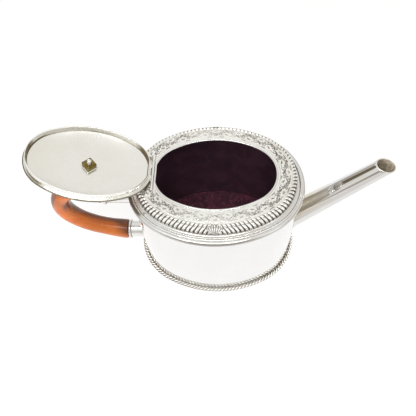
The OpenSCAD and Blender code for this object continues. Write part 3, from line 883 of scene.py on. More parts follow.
# mouth wire, stopped at the hinge seat
prof = np.array([(0.8 + 0.8 * math.cos(a), H - 0.8 + 0.8 * math.sin(a)) for a in np.arange(20) / 20 * 2 * PI])
xcut = -(HINGE_X + 2.1)
parts = []
for k, (cx, cy, r, a0, a1) in enumerate([SEGS[3], SEGS[4], SEGS[0], SEGS[1], SEGS[2], SEGS[3]]):
    cnt = max(12, int((a1 - a0) * (r + 0.8) / 0.6))
    if k in (0, 5):
        cnt //= 2
    u = np.linspace(0, 1, cnt + 1)[:, None]
    if k in (0, 5):
        gap = np.arccos(np.clip((xcut - D) / (RE + prof[:, 0]), -1, 1))[None, :]
        lo, hi = (PI + gap, a1) if k == 0 else (a0, PI - gap)
    else:
        lo, hi = a0, a1
    th = lo + (hi - lo) * u * np.ones((1, len(prof)))
    if k < 5:
        th = th[:-1]
    rr = r + prof[:, 0][None, :]
    parts.append(np.stack([cx + rr * np.cos(th), cy + rr * np.sin(th), np.broadcast_to(prof[:, 1], th.shape)], -1))
p = np.concatenate(parts)
n, m = p.shape[:2]
j = np.arange(m)
g = Geo().add(p, [quads(n, m, False, True), j[::-1][None, :], ((n - 1) * m + j)[None, :]])
wire = piece("mouth_wire_piece", g, "pot", M_MOULD, ["mouth_wire"], angle=50)
co = coords(wire.data)
off = offset_of(co[:, 0], co[:, 1])
mark(wire.data, "inner", np.clip((H - 1.0 - co[:, 2]) / 0.5, 0, 1) * (off < 0.9))
mark(wire.data, "groove", np.clip((off - 1.3) / 0.3, 0, 1) * (co[:, 2] > H - 1.2) * 0.4)

# ------------------------------------------------------------------ spout
TILT = math.radians(49)
AX = np.array([math.cos(TILT), 0, math.sin(TILT)])
N1 = np.array([-math.sin(TILT), 0, math.cos(TILT)])
N2 = np.array([0, -1.0, 0])
ROOT = np.array([66.1, 0, 43.9])
TIP = ROOT + 79.5 * AX
CUTN = np.array([math.sin(math.radians(11)), 0, math.cos(math.radians(11))])


def solve(fn, lo, hi):
    lo, hi = lo.copy(), hi.copy()
    for _ in range(60):
        mid = (lo + hi) / 2
        neg = fn(mid) < 0
        lo, hi = np.where(neg, mid, lo), np.where(neg, hi, mid)
    return (lo + hi) / 2


def cone_points(t, phi, add, flare=0.0, t0=None):
    r = 9.4 - (9.4 - 6.4) / 79.5 * t + add
    if flare:
        r = r + flare * np.clip(1 - (t - t0) / 2.4, 0, 1) ** 2.4
    return ROOT + t[..., None] * AX + r[..., None] * (np.cos(phi)[..., None] * N1 + np.sin(phi)[..., None] * N2)


phi = np.arange(128) / 128 * 2 * PI
wall_r = RE + WALL - 0.05


def spout_run(add, off=0.0):
    def to_wall(t):
        q = cone_points(t, phi, add)
        return np.hypot(q[:, 0] - D, q[:, 1]) - (wall_r + off)

    def to_tip(t):
        return (cone_points(t, phi, add) - TIP) @ CUTN
    a, b = np.full(len(phi), -30.0), np.full(len(phi), 60.0)
    return solve(to_wall, a, b), solve(to_tip, np.full(len(phi), 50.0), np.full(len(phi), 110.0))


t0, t1 = spout_run(0.0)
i0, i1 = spout_run(-0.9)
u = np.r_[np.linspace(0, 0.05, 14)[:-1], np.linspace(0.05, 1, 60)] ** 1.0
rows = [cone_points(t0 + (t1 - t0) * q, phi, 0.0, 0.75, t0) for q in u]
lip = []
for a in np.radians([0, 30, 60, 90, 120, 150, 180])[1:-1]:
    base = (rows[-1] + cone_points(i1, phi, -0.9)) / 2
    half = (rows[-1] - cone_points(i1, phi, -0.9)) / 2
    lip.append(base + half * math.cos(a) + AX * 0.32 * math.sin(a))
inner_rows = [cone_points(i1 + (i0 - i1) * q, phi, -0.9) for q in np.linspace(0, 1, 30)]
p = np.stack(rows + lip + inner_rows, 1)
deg = np.degrees(np.minimum(phi, 2 * PI - phi))[:, None]
along = np.r_[u, np.ones(len(lip)), np.ones(len(inner_rows))][None, :]
outer_side = np.r_[np.ones(len(u)), np.zeros(len(lip) + len(inner_rows))][None, :]
gold = outer_side * np.clip(1 - along / 0.48, 0, 1) ** 0.8 * np.clip((70 - deg) / 8, 0, 1)
# painted reflection: a grey-beige band along each side of the spout
painted_reflection_band = outer_side * (0.50 * np.clip((deg - 44) / 10, 0, 1) * np.clip((84 - deg) / 12, 0, 1) + 0.22 * np.clip((deg - 72) / 10, 0, 1))
# a thin dark line along each side near the root is a painted reflection; the dark ring at the very root is the joint
# with the wall
root = outer_side * np.clip(1 - along / 0.55, 0, 1) * np.exp(-((deg - 73) / 3.0) ** 2) * 0.9
root = np.maximum(root, outer_side * np.clip(1 - along / 0.012, 0, 1) * 0.8)
g = Geo().add(p, quads(p.shape[0], p.shape[1], True, True, flip=False), gold=gold, shade=painted_reflection_band + 0.0 * gold, groove=root)
spout = piece("spout_tube", g, "pot", M_SPOUT, ["spout"], angle=60)
spout.data.materials.append(M_BORE)
n_out = len(rows) + 3
m = p.shape[1]
idx = np.zeros(len(spout.data.polygons), np.int32)
cols = np.arange(len(idx)) % m
idx[(cols >= n_out) & (cols < m - 1)] = 1
spout.data.polygons.foreach_set("material_index", idx)


# ------------------------------------------------------------------ sockets and collars
def lengthwise_dark_lines(phi):
    """Dark lines along the tube at fixed angles round it."""
    d = np.degrees(phi)
    return sum(a * np.exp(-((d - c) / w) ** 2) for c, w, a in ((106, 7, 0.62), (64, 22, 0.36), (160, 8, 0.5), (250, 14, 0.5), (305, 9, 0.5)))


def socket(name, node, z, r, x_end, groove_at):
    """Tube from the wall to the collar with a soldered fillet at its root."""
    phi = np.arange(96) / 96 * 2 * PI
    ry, rz = np.cos(phi), np.sin(phi)

    def x_wall(rad):
        return -(D + np.sqrt(np.maximum((RE + WALL - 0.05) ** 2 - (rad * ry) ** 2, 0)))
    rows = []
    for q, f in ((0.0, 0.8), (0.12, 0.52), (0.3, 0.28), (0.6, 0.1), (1.0, 0.0)):
        rad = r + f
        rows.append(np.stack([x_wall(rad) - q * 1.3, rad * ry, z + rad * rz], 1))
    for x in np.linspace(0, 1, 12)[1:]:
        xs = x_wall(r) - 1.3
        rows.append(np.stack([xs + (x_end - xs) * x, r * ry, z + r * rz], 1))
    rows.append(np.stack([np.full(96, x_end), 5.6 * ry, z + 5.6 * rz], 1))
    rows.append(np.stack([np.full(96, x_end + 12.0) if x_end + 12 < -63.5 else np.full(96, -63.6), 5.6 * ry, z + 5.6 * rz], 1))
    p = np.stack(rows, 1)
    n, m = p.shape[:2]
    i = np.arange(n)
    g = Geo().add(p, [quads(n, m, True), (i * m)[::-1][None, :], (i * m + m - 1)[None, :]],
                  groove=np.maximum(np.r_[0.55, 0.3, np.zeros(m - 2)][None, :] * np.ones((n, 1)), lengthwise_dark_lines(phi)[:, None] * np.r_[np.ones(m - 2), 0, 0][None, :]))
    piece(name, g, "pot", M_MOULD, [node], angle=45)


def collar(name, node, x, z, r):
    prof = np.vstack([
        [(5.6, 0.0)],
        rounded([(5.6, 0.0), (r - 1.35, 0.0, 0.1), (r - 1.35, 0.28, 0.05), (r - 1.0, 0.42)], closed=False)[1:],
        arc(r - 1.3, 1.4, 1.3, 1.18, -62, 62, 17),
        rounded([(r - 1.0, 2.45), (r - 1.2, 2.6, 0.1), (r - 1.2, 2.8, 0.1), (5.6, 2.8)], closed=False),
    ])
    rr, hh = prof[:, 0], prof[:, 1]
    g = lathe(Geo(), prof, 96, (x, 0, z), (-1, 0, 0), (0, 1, 0), closed=True,
              groove=np.tile(((rr < r - 0.7) & (rr > r - 1.6)).astype(float) * 0.9, 96))
    piece(name, g, "pot", M_MOULD, [node], angle=50)


socket("upper_socket_tube", "upper_socket", 69.4, 6.6, -84.0, 1)
socket("lower_socket_tube", "lower_socket", 15.0, 7.0, -73.6, 1)
collar("upper_collar_ring", "upper_collar", -84.0, 69.4, 7.8)
collar("lower_collar_ring", "lower_collar", -73.6, 15.0, 8.4)
for nm, node, x, z, r in (("upper_rivet", "upper_handle_pin", -78.0, 69.4, 6.6), ("lower_rivet", "lower_handle_pin", -67.6, 15.0, 7.0)):
    half = r + 0.25
    prof = [(0, -half)] + [(0.9 * math.sin(a), -half + 0.2 * (1 - math.cos(a)) ** 0.8) for a in np.radians([20, 40, 60, 80, 90])] \
        + [(0.9, -half + 0.3), (0.9, half - 0.3)] \
        + [(0.9 * math.sin(a), half - 0.2 * (1 - math.cos(a)) ** 0.8) for a in np.radians([90, 80, 60, 40, 20])] + [(0, half)]
    piece(nm, lathe(Geo(), prof, 32, (x, 0, z), (0, 1, 0), (1, 0, 0)), "pot", M_HARD, [node], angle=50)

# ------------------------------------------------------------------ handle
HANDLE = [
    [-76.4, 15, 8.3], [-80, 15.5, 8.25], [-84, 16.6, 8.05], [-89.5, 18.2, 7.7],
    [-95.2, 20.4, 7.45], [-101, 23, 7.4], [-106.4, 26.2, 7.4], [-111.4, 30, 7.4],
    [-115.9, 34.6, 7.4], [-119.2, 39.2, 7.5], [-121.7, 44, 7.55], [-123.4, 49.4, 7.55],
    [-123.9, 55, 7.45], [-123.3, 60.6, 7.3], [-121.4, 66, 7.2], [-118, 70.8, 7.2],
    [-113.2, 74.4, 7.2], [-107.6, 76.2, 7.2], [-102, 76.4, 7.2], [-97, 75, 7.1],
    [-91.8, 72.4, 6.9], [-86.8, 69.4, 7.2],
]
line = cubic(HANDLE, 260, start=(-1, 0, 0), end=(0.95, -0.3, 0.0))
d = np.gradient(line[:, :2], axis=0)
d /= np.linalg.norm(d, axis=1)[:, None]
run = np.r_[0, np.cumsum(np.linalg.norm(np.diff(line[:, :2], axis=0), axis=1))]
total = run[-1]
# rounded shoulders of the wood at both collars
rad = line[:, 2].copy()
for q in (run, total - run):
    e = np.clip(1 - q / 2.2, 0, 1)
    rad -= 1.35 * (1 - np.sqrt(1 - e ** 2))
phi = np.arange(72) / 72 * 2 * PI
nx, nz = -d[:, 1], d[:, 0]
p = np.stack([
    line[:, 0][:, None] + rad[:, None] * np.cos(phi) * nx[:, None],
    rad[:, None] * np.sin(phi) * np.ones((260, 1)),
    line[:, 1][:, None] + rad[:, None] * np.cos(phi) * nz[:, None],
], -1)
p[0, :, 0] = np.minimum(p[0, :, 0], -76.4)
p[-1, :, 0] = np.minimum(p[-1, :, 0], -86.82)
p[-4:, :, 0] = np.minimum(p[-4:, :, 0], -86.8)
stain = np.exp(-run / 7.0) * 0.8 + np.exp(-(total - run) / 9.0) * 0.9 + 0.25 * np.exp(-((run - 34) / 18) ** 2)
# painted shade: shade_top darkens the rear-top side of the handle; it goes into the stain attribute together with the
# real stain near the collars
shade_top = np.clip((np.cos(phi - math.radians(131)) - 0.45) / 0.45, 0, 1)
low_end = np.exp(-(run / 10.0) ** 2)[:, None] * np.clip(np.cos(phi - math.radians(158)) + 0.45, 0, 1)
stain_and_painted_shade = np.clip(stain[:, None] * 0.5 * (0.75 + 0.25 * np.cos(phi + 0.4)) + 0.9 * low_end + 0.62 * shade_top * np.clip((total - run) / 40, 0, 1)[:, None], 0, 0.94)
# painted light and shade: lit keeps the lower front lighter than the rest, under_lid is a painted shadow of the lid,
# and inner_bow, elbow_out and elbow_in are painted shade round the elbow
lit = np.clip(np.cos(phi - math.radians(280)), 0, 1)[None, :]
under_lid = 0.5 * np.exp(-((run - 78) / 8.0) ** 2)[:, None]
inner_bow = 0.45 * np.exp(-((run - 62) / 14.0) ** 2)[:, None] * np.clip(np.cos(phi - PI), 0, 1)[None, :] ** 2
elbow_out = 0.8 * np.exp(-((run - 72) / 14.0) ** 2)[:, None] * np.clip((np.cos(phi) - 0.5) / 0.2, 0, 1)[None, :]
elbow_in = 0.55 * np.exp(-((run - 73) / 6.0) ** 2)[:, None] * np.clip((-np.cos(phi) - 0.3) / 0.3, 0, 1)[None, :]
stain_and_painted_shade = np.clip(stain_and_painted_shade + 0.2 * (1 - lit) + 0.8 * under_lid + inner_bow + elbow_out + elbow_in, 0, 0.94)
j = np.arange(72)
g = Geo().add(p, [quads(260, 72, False, True), j[::-1][None, :], (259 * 72 + j)[None, :]], stain=stain_and_painted_shade)
for x0, x1, zc in ((-87.2, -73.0, 69.4), (-77.0, -63.4, 15.0)):
    lathe(g, rounded([(0, x0), (5.5, x0), (5.5, x1, 0.4), (0, x1)], closed=False), 48, (0, 0, zc), (1, 0, 0), (0, 1, 0), stain=0.9)
piece("handle_wood", g, "pot", M_WOOD, ["handle"], angle=45)


# ------------------------------------------------------------------ hinge
def knuckle(g, y0, y1, bore, groove=0.0):
    prof = rounded([(bore, 0), (KNUCKLE, 0, 0.14), (KNUCKLE, y1 - y0, 0.14), (bore, y1 - y0)])
    lathe(g, prof, 40, (HINGE_X, y0, HINGE_Z), (0, 1, 0), (1, 0, 0), closed=True, groove=groove)


g = Geo()
bar = rounded([(HINGE_X - 1.35, -15.8, 0.3), (HINGE_X + 2.1, -15.8, 0.3), (HINGE_X + 2.1, 15.8, 0.3), (HINGE_X - 1.35, 15.8, 0.3)])
prism(g, bar, H - 2, SEAT_TOP, 0.12, groove=0.12)
for y0, y1 in ((-15.5, -9.5), (-3.0, 3.0), (9.5, 15.5)):
    knuckle(g, y0, y1, 0.6)
    web = rounded([(HINGE_X - 0.8, y0 + 0.02, 0.1), (HINGE_X + 0.8, y0 + 0.02, 0.1), (HINGE_X + 0.8, y1 - 0.02, 0.1), (HINGE_X - 0.8, y1 - 0.02, 0.1)])
    prism(g, web, SEAT_TOP - 0.2, HINGE_Z - 0.72, 0.03, groove=0.5)
piece("hinge_barrel", g, "pot", M_HARD, ["hinge_seat"], angle=40)

prof = [(0, -15.5), (0.45, -15.48), (0.6, -15.4), (0.6, 15.4), (0.45, 15.48), (0, 15.5)]
piece("hinge_rod", lathe(Geo(), prof, 32, (HINGE_X, 0, HINGE_Z), (0, 1, 0), (1, 0, 0)), "pot", M_HARD, ["hinge_pin"], angle=50)

g = Geo()
for y0, y1 in ((-9.35, -3.15), (3.15, 9.35)):
    knuckle(g, y0, y1, 0.65)
    ya, yb = max(y0, -7.9), min(y1, 7.9)
    x1 = HINGE_X + KNUCKLE + 0.4
    arm = rounded([(HINGE_X + 0.86, ya, 0), (x1, ya, 0), (x1, yb, 0), (HINGE_X + 0.86, yb, 0)])
    prism(g, arm, LID_Z + 0.15, LID_Z + 0.95, 0.05, groove=0.3)
piece("lid_knuckles", g, "lid", M_HARD, ["lid_hinge_knuckles"], angle=40, move=open_lid)

# ------------------------------------------------------------------ lid
EDGE_CUT = (-(HINGE_X + KNUCKLE + 0.4))
st = stations(720, 0.0)
t_rows = 1 - np.linspace(0, 1, 40)[:-1] ** 1.25
t_rows = np.unique(np.r_[t_rows, 0.998, 0.99])[::-1]
ring_in = at(st, [-1.86], [0.0])[:, 0]
ring_out = at(st, [-0.9], [0.0])[:, 0]
edge = rounded([(-0.9, LID_Z + 1.0), (0.9, LID_Z + 1.0, 0.15), (0.9, LID_Z, 0.15), (0.45, LID_Z), (0.3, LID_Z), (-0.4, LID_Z), (-0.55, LID_Z), (-1.86, LID_Z + 0.0)], closed=False)[::-1]
edge_off = cut_left(st, edge[:, 0], -1.86, EDGE_CUT)
flange = at(st, edge_off, edge[:, 1])


def dome(ring_pts, z0, t, rise):
    q = ring_pts[:, None, :] * t[None, :, None]
    q[..., 2] = z0 + rise * (1 - t ** 4)[None, :]
    return q


# outside of the lid: a lobed medallion round the finial and a bright-cut border
inside = dome(ring_in, LID_Z, t_rows, RISE)
outside = dome(ring_out, LID_Z + 1, t_rows, RISE)
th = st["s"] / st["len"] * 2 * PI
tt = t_rows[None, :]
flute = np.abs(np.sin(th * 24))[:, None]
zone = np.clip((tt - 0.30) / 0.03, 0, 1) * np.clip((0.52 - tt) / 0.03, 0, 1)
leaf = np.abs(np.sin((th * 36)[:, None] + 6 * (tt - 0.8)))
zone2 = np.clip((tt - 0.80) / 0.01, 0, 1) * np.clip((0.9 - tt) / 0.01, 0, 1)
outside[..., 2] += -0.35 * zone * (1 - flute ** 0.7) - 0.12 * zone2 * (leaf < 0.35)
for tl in (0.78, 0.92, 0.28, 0.54):
    outside[..., 2] -= 0.12 * np.exp(-((tt - tl) / 0.006) ** 2)
gro = np.maximum(zone * np.clip(1 - flute * 2.2, 0, 1), zone2 * (leaf < 0.35))
for tl in (0.78, 0.92, 0.28, 0.54):
    gro = np.maximum(gro, np.exp(-((tt - tl) / 0.007) ** 2) * 0.8)
# order: centre of the inside, out to the flange, round it, back to the centre of the outside
p = np.concatenate([inside[:, ::-1], flange[:, 1:], outside[:, 1:]], 1)
n, m = p.shape[:2]
verts = p.reshape(-1, 3)
verts = np.vstack([verts, [[0, 0, LID_Z + RISE]], [[0, 0, LID_Z + RISE + 1]]])
i = np.arange(n)
k_in, k_fl = inside.shape[1], flange.shape[1] - 1
ga = np.zeros((n, m))
ga[:, k_in + k_fl:] = gro[:, 1:]
ga[:, k_in - 3:k_in + 1] = 0.55
# painted shade: the line at the edge of the dish is drawn darker towards the far end, the hinge end and the rear
far = np.clip((ring_in[:, 0] - 22) / 14, 0, 1)[:, None]
near = np.clip((-ring_in[:, 0] - 22) / 14, 0, 1)[:, None]
rear = np.clip(ring_in[:, 1] / 20, 0, 1)[:, None]
ga[:, k_in - 4:k_in + 1] += 0.4 * far + 0.3 * near + 0.05 * rear
# painted shade on the outer edge of the flange, heavier at the far end
lip = np.clip((edge_off[:, 1:] - 0.32) / 0.12, 0, 1)
ga[:, k_in:k_in + k_fl] = np.maximum(ga[:, k_in:k_in + k_fl], 0.80 * lip + 0.8 * far * (edge_off[:, 1:] > -0.3))
g = Geo().add(verts, [quads(n, m, True), np.stack([i * m, np.full(n, len(verts) - 2), (i + 1) % n * m], 1),
                      np.stack([i * m + m - 1, (i + 1) % n * m + m - 1, np.full(n, len(verts) - 1)], 1)],
              groove=np.r_[ga.ravel(), 0, 0])
piece("lid_dome", g, "lid", M_LID, ["lid_plate"], angle=40, move=open_lid)

prof = rounded([(-1.86, LID_Z - 4.4, 0.35), (-0.66, LID_Z - 4.4, 0.35), (-0.66, LID_Z - 1.9), (-0.66, LID_Z - 1.65), (-0.66, LID_Z - 0.4), (-0.66, LID_Z - 0.25), (-0.66, LID_Z + 0.02), (-1.86, LID_Z + 0.3), (-1.86, LID_Z - 0.2), (-1.86, LID_Z - 0.35), (-1.86, LID_Z - 1.2), (-1.86, LID_Z - 1.5)])
flat_out, flat_in = -(HINGE_X + 2.9), -(HINGE_X + 4.1)
off = np.broadcast_to(prof[:, 0], (720, len(prof))).copy()
left = st["k"] == 3
c = np.maximum(np.abs(np.cos(st["th"])), 0.2)
lo = np.where(left, np.minimum(-1.86, (flat_in - D) / c - RE), -1.86)
hi = np.where(left, np.minimum(-0.66, (flat_out - D) / c - RE), -0.66)
off = lo[:, None] + (off + 1.86) / 1.2 * (hi - lo)[:, None]
p = at(st, off, prof[:, 1])
gb = np.clip((prof[:, 1] - LID_Z + 0.26) / 0.1, 0, 1)[None, :] * 0.75 * np.ones((720, 1))
inner_face = (prof[:, 0] < -1.4)[None, :]
# painted dark reflection on the inner face at both ends
gb = np.maximum(gb, inner_face * (0.84 * np.clip((p[:, :1, 0] - 37.5) / 3.5, 0, 1) + 0.92 * np.clip((-p[:, :1, 0] - 26) / 9, 0, 1)))
# painted shade low on the outer face at the far end
low = np.clip((prof[:, 1] - LID_Z + 1.85) / 0.15, 0, 1)[None, :]
end_x, side_y = np.clip((p[:, :1, 0] - 20) / 10, 0, 1), p[:, :1, 1]
gb = np.maximum(gb, ~inner_face * low * 0.95 * end_x * np.clip((6 - side_y) / 6, 0, 1))
# painted dark reflection over the upper inner face towards the far end
far_upper_reflection = inner_face * np.clip((prof[:, 1] - LID_Z + 1.45) / 0.2, 0, 1)[None, :]
gb = np.maximum(gb, far_upper_reflection * np.clip((p[:, :1, 0] - 27) / 9, 0, 1) * np.clip((side_y + 6) / 8, 0, 1) * 0.9)
g = Geo().add(p, quads(720, p.shape[1], True, True), groove=gb)
piece("lid_bezel_ring", g, "lid", M_BEZEL, ["lid_bezel"], angle=40, move=open_lid)

prof = np.vstack([[(-0.9, LID_Z + 0.98)], [(0.85, LID_Z + 0.98)], arc(0.28, LID_Z + 1.12, 0.6, 0.62, -5, 185, 14)[:],
                  [(-0.42, LID_Z + 1.08)], [(-0.9, LID_Z + 1.3)]])
off = cut_left(st, prof[:, 0], -1.4, EDGE_CUT)
p = at(st, off, prof[:, 1])
# dark joint where the wire meets the dome; painted shade on the wire's outer face, heavier at the far end
rim_joint_and_shade = np.where((prof[:, 0] > 0.55) | (np.abs(prof[:, 0] + 0.42) < 0.1), 1.0, 0.0)
g = Geo().add(p, quads(720, p.shape[1], True, True), groove=np.maximum(rim_joint_and_shade[None, :], 1.1 * (prof[:, 0] > -0.1)[None, :] * np.clip((p[:, :1, 0] - 26) / 10, 0, 1)))
piece("lid_rim_wire", g, "lid", M_MOULD, ["lid_border"], angle=50, move=open_lid)

# ------------------------------------------------------------------ finial, nut and washer
zt = LID_TOP
seat = np.vstack([[(1.7, 0.0)], rounded([(1.7, 0), (8.9, 0, 0.1), (9.0, 0.45, 0.25), (8.3, 0.95, 0.2), (7.6, 0.95, 0.1), (6.4, 1.25, 0.8), (5.75, 1.8, 0.4), (5.6, 2.3, 0.1), (1.7, 2.3)], closed=False)[1:]])
piece("finial_base", lathe(Geo(), seat, 80, (0, 0, zt), closed=True, groove=np.tile((np.abs(seat[:, 0] - 7.9) < 0.5).astype(float) * 0.5, 80)),
      "lid", M_MOULD, ["finial_seat"], angle=40, move=open_lid)
kn = cubic([(5.3, 0.0), (6.3, 0.8), (7.6, 1.9), (8.4, 3.3), (8.6, 4.8), (8.15, 6.3), (6.95, 7.5), (5.2, 8.25), (4.3, 8.4)], 40)
kn = np.vstack([[(1.7, 0.0)], kn, [(1.7, 8.4)]])
piece("finial_wood", lathe(Geo(), kn, 72, (0, 0, zt + 2.3), closed=True, stain=np.tile(np.r_[0.8, np.clip(1 - np.linspace(0, 3, 40), 0, 1) * 0.7, 0.6], 72)),
      "lid", M_WOOD, ["finial_knop"], angle=45, move=open_lid)

# button with its screw: the thread is a real helix on the shank
cap = cubic([(0.0, 3.6), (1.3, 3.42), (2.5, 2.8), (3.2, 1.85), (3.4, 1.0)], 18)
prof = np.vstack([[(0.0, -18.65)], [(1.1, -18.65)], [(1.45, -18.3)]])
rows_h = np.arange(-18.2, -0.2, 0.11)
n = 40
a = np.arange(n) / n * 2 * PI
thread = 1.6 - 0.2 * np.abs(((rows_h[None, :] / 0.55 + a[:, None] / (2 * PI)) % 1.0) * 2 - 1)
body = [np.full((n, 1), 1.1), np.full((n, 1), 1.42), thread, np.full((n, 1), 1.5), np.full((n, 1), 4.1), np.full((n, 1), 4.2), np.full((n, 1), 4.2), np.full((n, 1), 3.6)]
heights = np.r_[-18.65, -18.35, rows_h, -0.1, 0.0, 0.1, 0.5, 0.75]
rad2 = np.concatenate(body + [np.broadcast_to(cap[::-1][:-1, 0], (n, 17))], 1)
heights = np.r_[heights, cap[::-1][:-1, 1]]
pts = np.stack([rad2 * np.cos(a)[:, None], rad2 * np.sin(a)[:, None], np.broadcast_to(heights + zt + 10.7, rad2.shape)], -1)
m = pts.shape[1]
verts = np.vstack([pts.reshape(-1, 3), [[0, 0, zt + 10.7 - 18.75]], [[0, 0, zt + 10.7 + 3.6]]])
i = np.arange(n)
gr = np.zeros((n, m))
gr[:, 2:2 + len(rows_h)] = np.clip((1.52 - thread) / 0.12, 0, 1) * np.clip((rows_h + 16.2) / 2, 0.15, 1)
g = Geo().add(verts, [quads(n, m, True), np.stack([i * m, np.full(n, len(verts) - 2), (i + 1) % n * m], 1),
                      np.stack([i * m + m - 1, (i + 1) % n * m + m - 1, np.full(n, len(verts) - 1)], 1)], groove=np.r_[gr.ravel(), 0, 0])
piece("finial_button", g, "lid", M_HARD, ["finial_screw"], angle=50, move=open_lid)


def square_ring(g, side, hole, z0, z1, corner, chamfer, turn, n=144, **attr):
    """Square plate with a round hole, rounded corners and eased edges."""
    a = np.arange(n) / n * 2 * PI
    out = rounded([(-side / 2, -side / 2, corner), (side / 2, -side / 2, corner), (side / 2, side / 2, corner), (-side / 2, side / 2, corner)], step=9)
    oa = np.arctan2(out[:, 1], out[:, 0]) % (2 * PI)
    order = np.argsort(oa)
    oa, orad = oa[order], np.hypot(out[:, 0], out[:, 1])[order]
    half = side / 2
    rad = np.minimum(half / np.maximum(np.abs(np.cos(a)), 1e-6), half / np.maximum(np.abs(np.sin(a)), 1e-6))
    lim = np.interp(a, np.r_[oa[-1] - 2 * PI, oa, oa[0] + 2 * PI], np.r_[orad[-1], orad, orad[0]])
    rad = np.minimum(rad, np.where(rad > half * 1.25, lim, rad))
    rows = [(hole + 0.3, z0, 0), (None, z0, chamfer), (None, z0 + chamfer * 0.6, chamfer * 0.25), (None, z0 + chamfer, 0), (None, z1 - chamfer, 0),
            (None, z1 - chamfer * 0.6, chamfer * 0.25), (None, z1, chamfer), (hole + 0.3, z1, 0), (hole, z1 - 0.25, 0), (hole, z0 + 0.25, 0)]
    p = []
    for r, z, inset in rows:
        rr = np.full(n, r) if r is not None else rad - inset
        p.append(np.stack([rr * np.cos(a + turn), rr * np.sin(a + turn), np.full(n, z)], 1))
    p = np.stack(p, 1)
    g.add(p, quads(n, p.shape[1], True, True), **attr)
    return g


TURN45 = math.radians(45)
piece("nut_plate", square_ring(Geo(), 8.6, 1.7, LID_Z + RISE - 0.8, LID_Z + RISE, 0.5, 0.15, TURN45, groove=0.25), "lid", M_HARD, ["nut_washer"], angle=35, move=open_lid)
piece("brass_nut", square_ring(Geo(), 7.6, 1.65, LID_Z + RISE - 3.6, LID_Z + RISE - 0.8, 0.6, 0.45, TURN45), "lid", M_BRASS, ["square_nut"], angle=35, move=open_lid)

# ------------------------------------------------------------------ camera
F, DIST = 459.9958, 377.087
EL, AZ, ROLL = math.radians(59.0001), math.radians(2.228), math.radians(2.0201)
U0, V0 = 216.7209, 213.6096
back = Vector((math.sin(AZ) * math.cos(EL), -math.cos(AZ) * math.cos(EL), math.sin(EL)))
cam_at = Vector((0, 0, 40)) + back * DIST
xc = Vector((0, 0, 1)).cross(back).normalized()
yc = back.cross(xc)
R = Matrix((xc, yc, back))
to = Vector(((U0 - 208) / F, -(V0 - 208) / F, -1)).normalized()
quat = Vector((0, 0, -1)).rotation_difference(to).to_matrix()
roll = Matrix(((math.cos(ROLL), -math.sin(ROLL), 0), (math.sin(ROLL), math.cos(ROLL), 0), (0, 0, 1)))
R = quat @ roll @ R
cam_data = bpy.data.cameras.new("camera")
cam_data.sensor_width = 36
cam_data.lens = F / 416 * 36
cam_data.clip_start, cam_data.clip_end = 0.01, 20
cam = bpy.data.objects.new("camera", cam_data)
bpy.context.scene.collection.objects.link(cam)
cam.matrix_world = Matrix.Translation(cam_at * MM) @ R.transposed().to_4x4()
bpy.context.scene.camera = cam

# ------------------------------------------------------------------ floor, world, lights
me = bpy.data.meshes.new("floor")
n = 96
a = np.arange(n) / n * 2 * PI
ring_r = [0.3, 0.6, 1.2, 2.4]
verts = [(0, 0, -0.0001)] + [(r * math.cos(q), r * math.sin(q), -0.0001) for r in ring_r for q in a]
faces = [(0, 1 + k, 1 + (k + 1) % n) for k in range(n)]
for q in range(3):
    faces += [(1 + q * n + k, 1 + (q + 1) * n + k, 1 + (q + 1) * n + (k + 1) % n, 1 + q * n + (k + 1) % n) for k in range(n)]
me.from_pydata(verts, [], faces)
floor = bpy.data.objects.new("floor", me)
bpy.context.scene.collection.objects.link(floor)
t = Tree("pale_floor")
paper = t.noise(35, 3.0)
t.set(Base_Color=t.mix(t.span(paper, 0.3, 0.7), rgb(0.335, 0.335, 0.334), rgb(0.35, 0.35, 0.349)), Roughness=0.95, Specular_IOR_Level=0.0,
      Emission_Color=rgb(1.0, 1.0, 1.0), Emission_Strength=0.80)
me.materials.append(t.mat)

world = bpy.data.worlds.new("studio")
bpy.context.scene.world = world
world.use_nodes = True
nt = world.node_tree
nt.nodes.clear()


def wn(kind, **props):
    q = nt.nodes.new(kind)
    for k, v in props.items():
        setattr(q, k, v)
    return q


def wput(sock, v):
    if hasattr(v, "links"):
        nt.links.new(v, sock)
    else:
        sock.default_value = v


def wspan(v, a, b, c=0.0, d=1.0):
    q = wn("ShaderNodeMapRange", clamp=True, interpolation_type="SMOOTHSTEP")
    for i, w in enumerate((v, a, b, c, d)):
        wput(q.inputs[i], w)
    return q.outputs[0]


def wmath(op, a, b):
    q = wn("ShaderNodeMath", operation=op)
    wput(q.inputs[0], a)
    wput(q.inputs[1], b)
    return q.outputs[0]


def wmix(f, a, b):
    q = wn("ShaderNodeMix", data_type="RGBA")
    wput(q.inputs["Factor"], f)
    wput(q.inputs[6], a)
    wput(q.inputs[7], b)
    return q.outputs[2]


gen = wn("ShaderNodeTexCoord").outputs["Generated"]
sep = wn("ShaderNodeSeparateXYZ")
nt.links.new(gen, sep.inputs[0])


def patch(base, az, el, inner, outer, colour, amount=1.0):
    """A soft round patch of colour in the studio, centred on a direction in degrees."""
    a, e = math.radians(az), math.radians(el)
    q = wn("ShaderNodeVectorMath", operation="DOT_PRODUCT")
    nt.links.new(gen, q.inputs[0])
    q.inputs[1].default_value = (math.cos(a) * math.cos(e), math.sin(a) * math.cos(e), math.sin(e))
    f = wspan(q.outputs["Value"], math.cos(math.radians(outer)), math.cos(math.radians(inner)), 0.0, amount)
    return wmix(f, base, colour)


sky = wmix(wspan(sep.outputs["Z"], 0.1, 0.8), rgb(0.84, 0.825, 0.79), rgb(0.90, 0.895, 0.87))
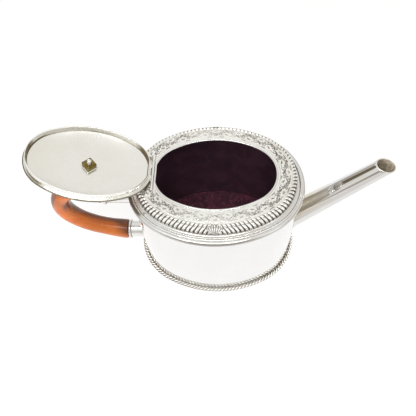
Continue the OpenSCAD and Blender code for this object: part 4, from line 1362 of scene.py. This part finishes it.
# the dim room beyond the white table, a low band round the horizon
low = wmath("MULTIPLY", wspan(sep.outputs["Z"], -0.22, -0.06), wspan(sep.outputs["Z"], 0.42, 0.12))
sky = wmix(wmath("MULTIPLY", low, 0.9), sky, rgb(0.40, 0.375, 0.34))
sky = patch(sky, 40, 49, 8, 30, rgb(0.82, 0.79, 0.73), 0.6)
sky = patch(sky, -20, 30, 6, 20, rgb(0.98, 0.98, 0.96), 0.7)
sky = patch(sky, 120, 30, 5, 14, rgb(0.95, 0.95, 0.93), 0.8)
sky = patch(sky, 246, -4, 8, 18, rgb(0.42, 0.39, 0.33), 0.9)
sky = patch(sky, 0, 3, 12, 45, rgb(0.66, 0.64, 0.60), 0.85)
sky = patch(sky, 102, 0, 14, 26, rgb(0.80, 0.79, 0.77), 0.9)
sky = patch(sky, 214, 12, 10, 18, rgb(0.86, 0.84, 0.79), 0.92)
sky = patch(sky, 167, 16, 14, 21, rgb(0.135, 0.11, 0.06), 0.97)
path = wn("ShaderNodeLightPath")
sky = wmix(path.outputs["Is Diffuse Ray"], sky, rgb(0.36, 0.36, 0.355))
sky = wmix(path.outputs["Is Camera Ray"], sky, rgb(0.93, 0.93, 0.925))
bg = wn("ShaderNodeBackground")
wput(bg.inputs["Color"], sky)
bg.inputs["Strength"].default_value = 1.0
wo = wn("ShaderNodeOutputWorld")
nt.links.new(bg.outputs[0], wo.inputs["Surface"])


def area(name, loc, target, size, power, colour=(1, 1, 1)):
    ld = bpy.data.lights.new(name, "AREA")
    ld.shape, ld.size, ld.size_y = "RECTANGLE", size[0], size[1]
    ld.energy, ld.color = power, colour
    ob = bpy.data.objects.new(name, ld)
    bpy.context.scene.collection.objects.link(ob)
    ob.location = loc
    ob.rotation_euler = (Vector(target) - Vector(loc)).to_track_quat("-Z", "Y").to_euler()
    return ob


area("key", (-0.35, -0.35, 0.9), (0, 0, 0.05), (0.5, 0.35), 0.3, (1.0, 0.985, 0.96))
area("fill", (0.6, -0.5, 0.6), (0, 0, 0.05), (0.4, 0.4), 0.35, (0.97, 0.985, 1.0))
area("softbox", (-0.05, -0.41, 0.96), (-0.02, 0, 0.05), (0.7, 0.09), 2.1, (1.0, 0.985, 0.965))
wide = area("overhead", (-0.05, -0.41, 0.96), (-0.02, 0, 0.05), (0.9, 0.5), 1.5, (1.0, 0.985, 0.965))
wide.visible_glossy = False
front = area("front_fill", (-0.3, -0.7, 0.35), (-0.09, 0, 0.03), (0.4, 0.4), 1.9, (1.0, 0.97, 0.95))
front.visible_glossy = False

view = bpy.context.scene.view_settings
view.view_transform = "Standard"
view.look = "None"
view.exposure = 0.0
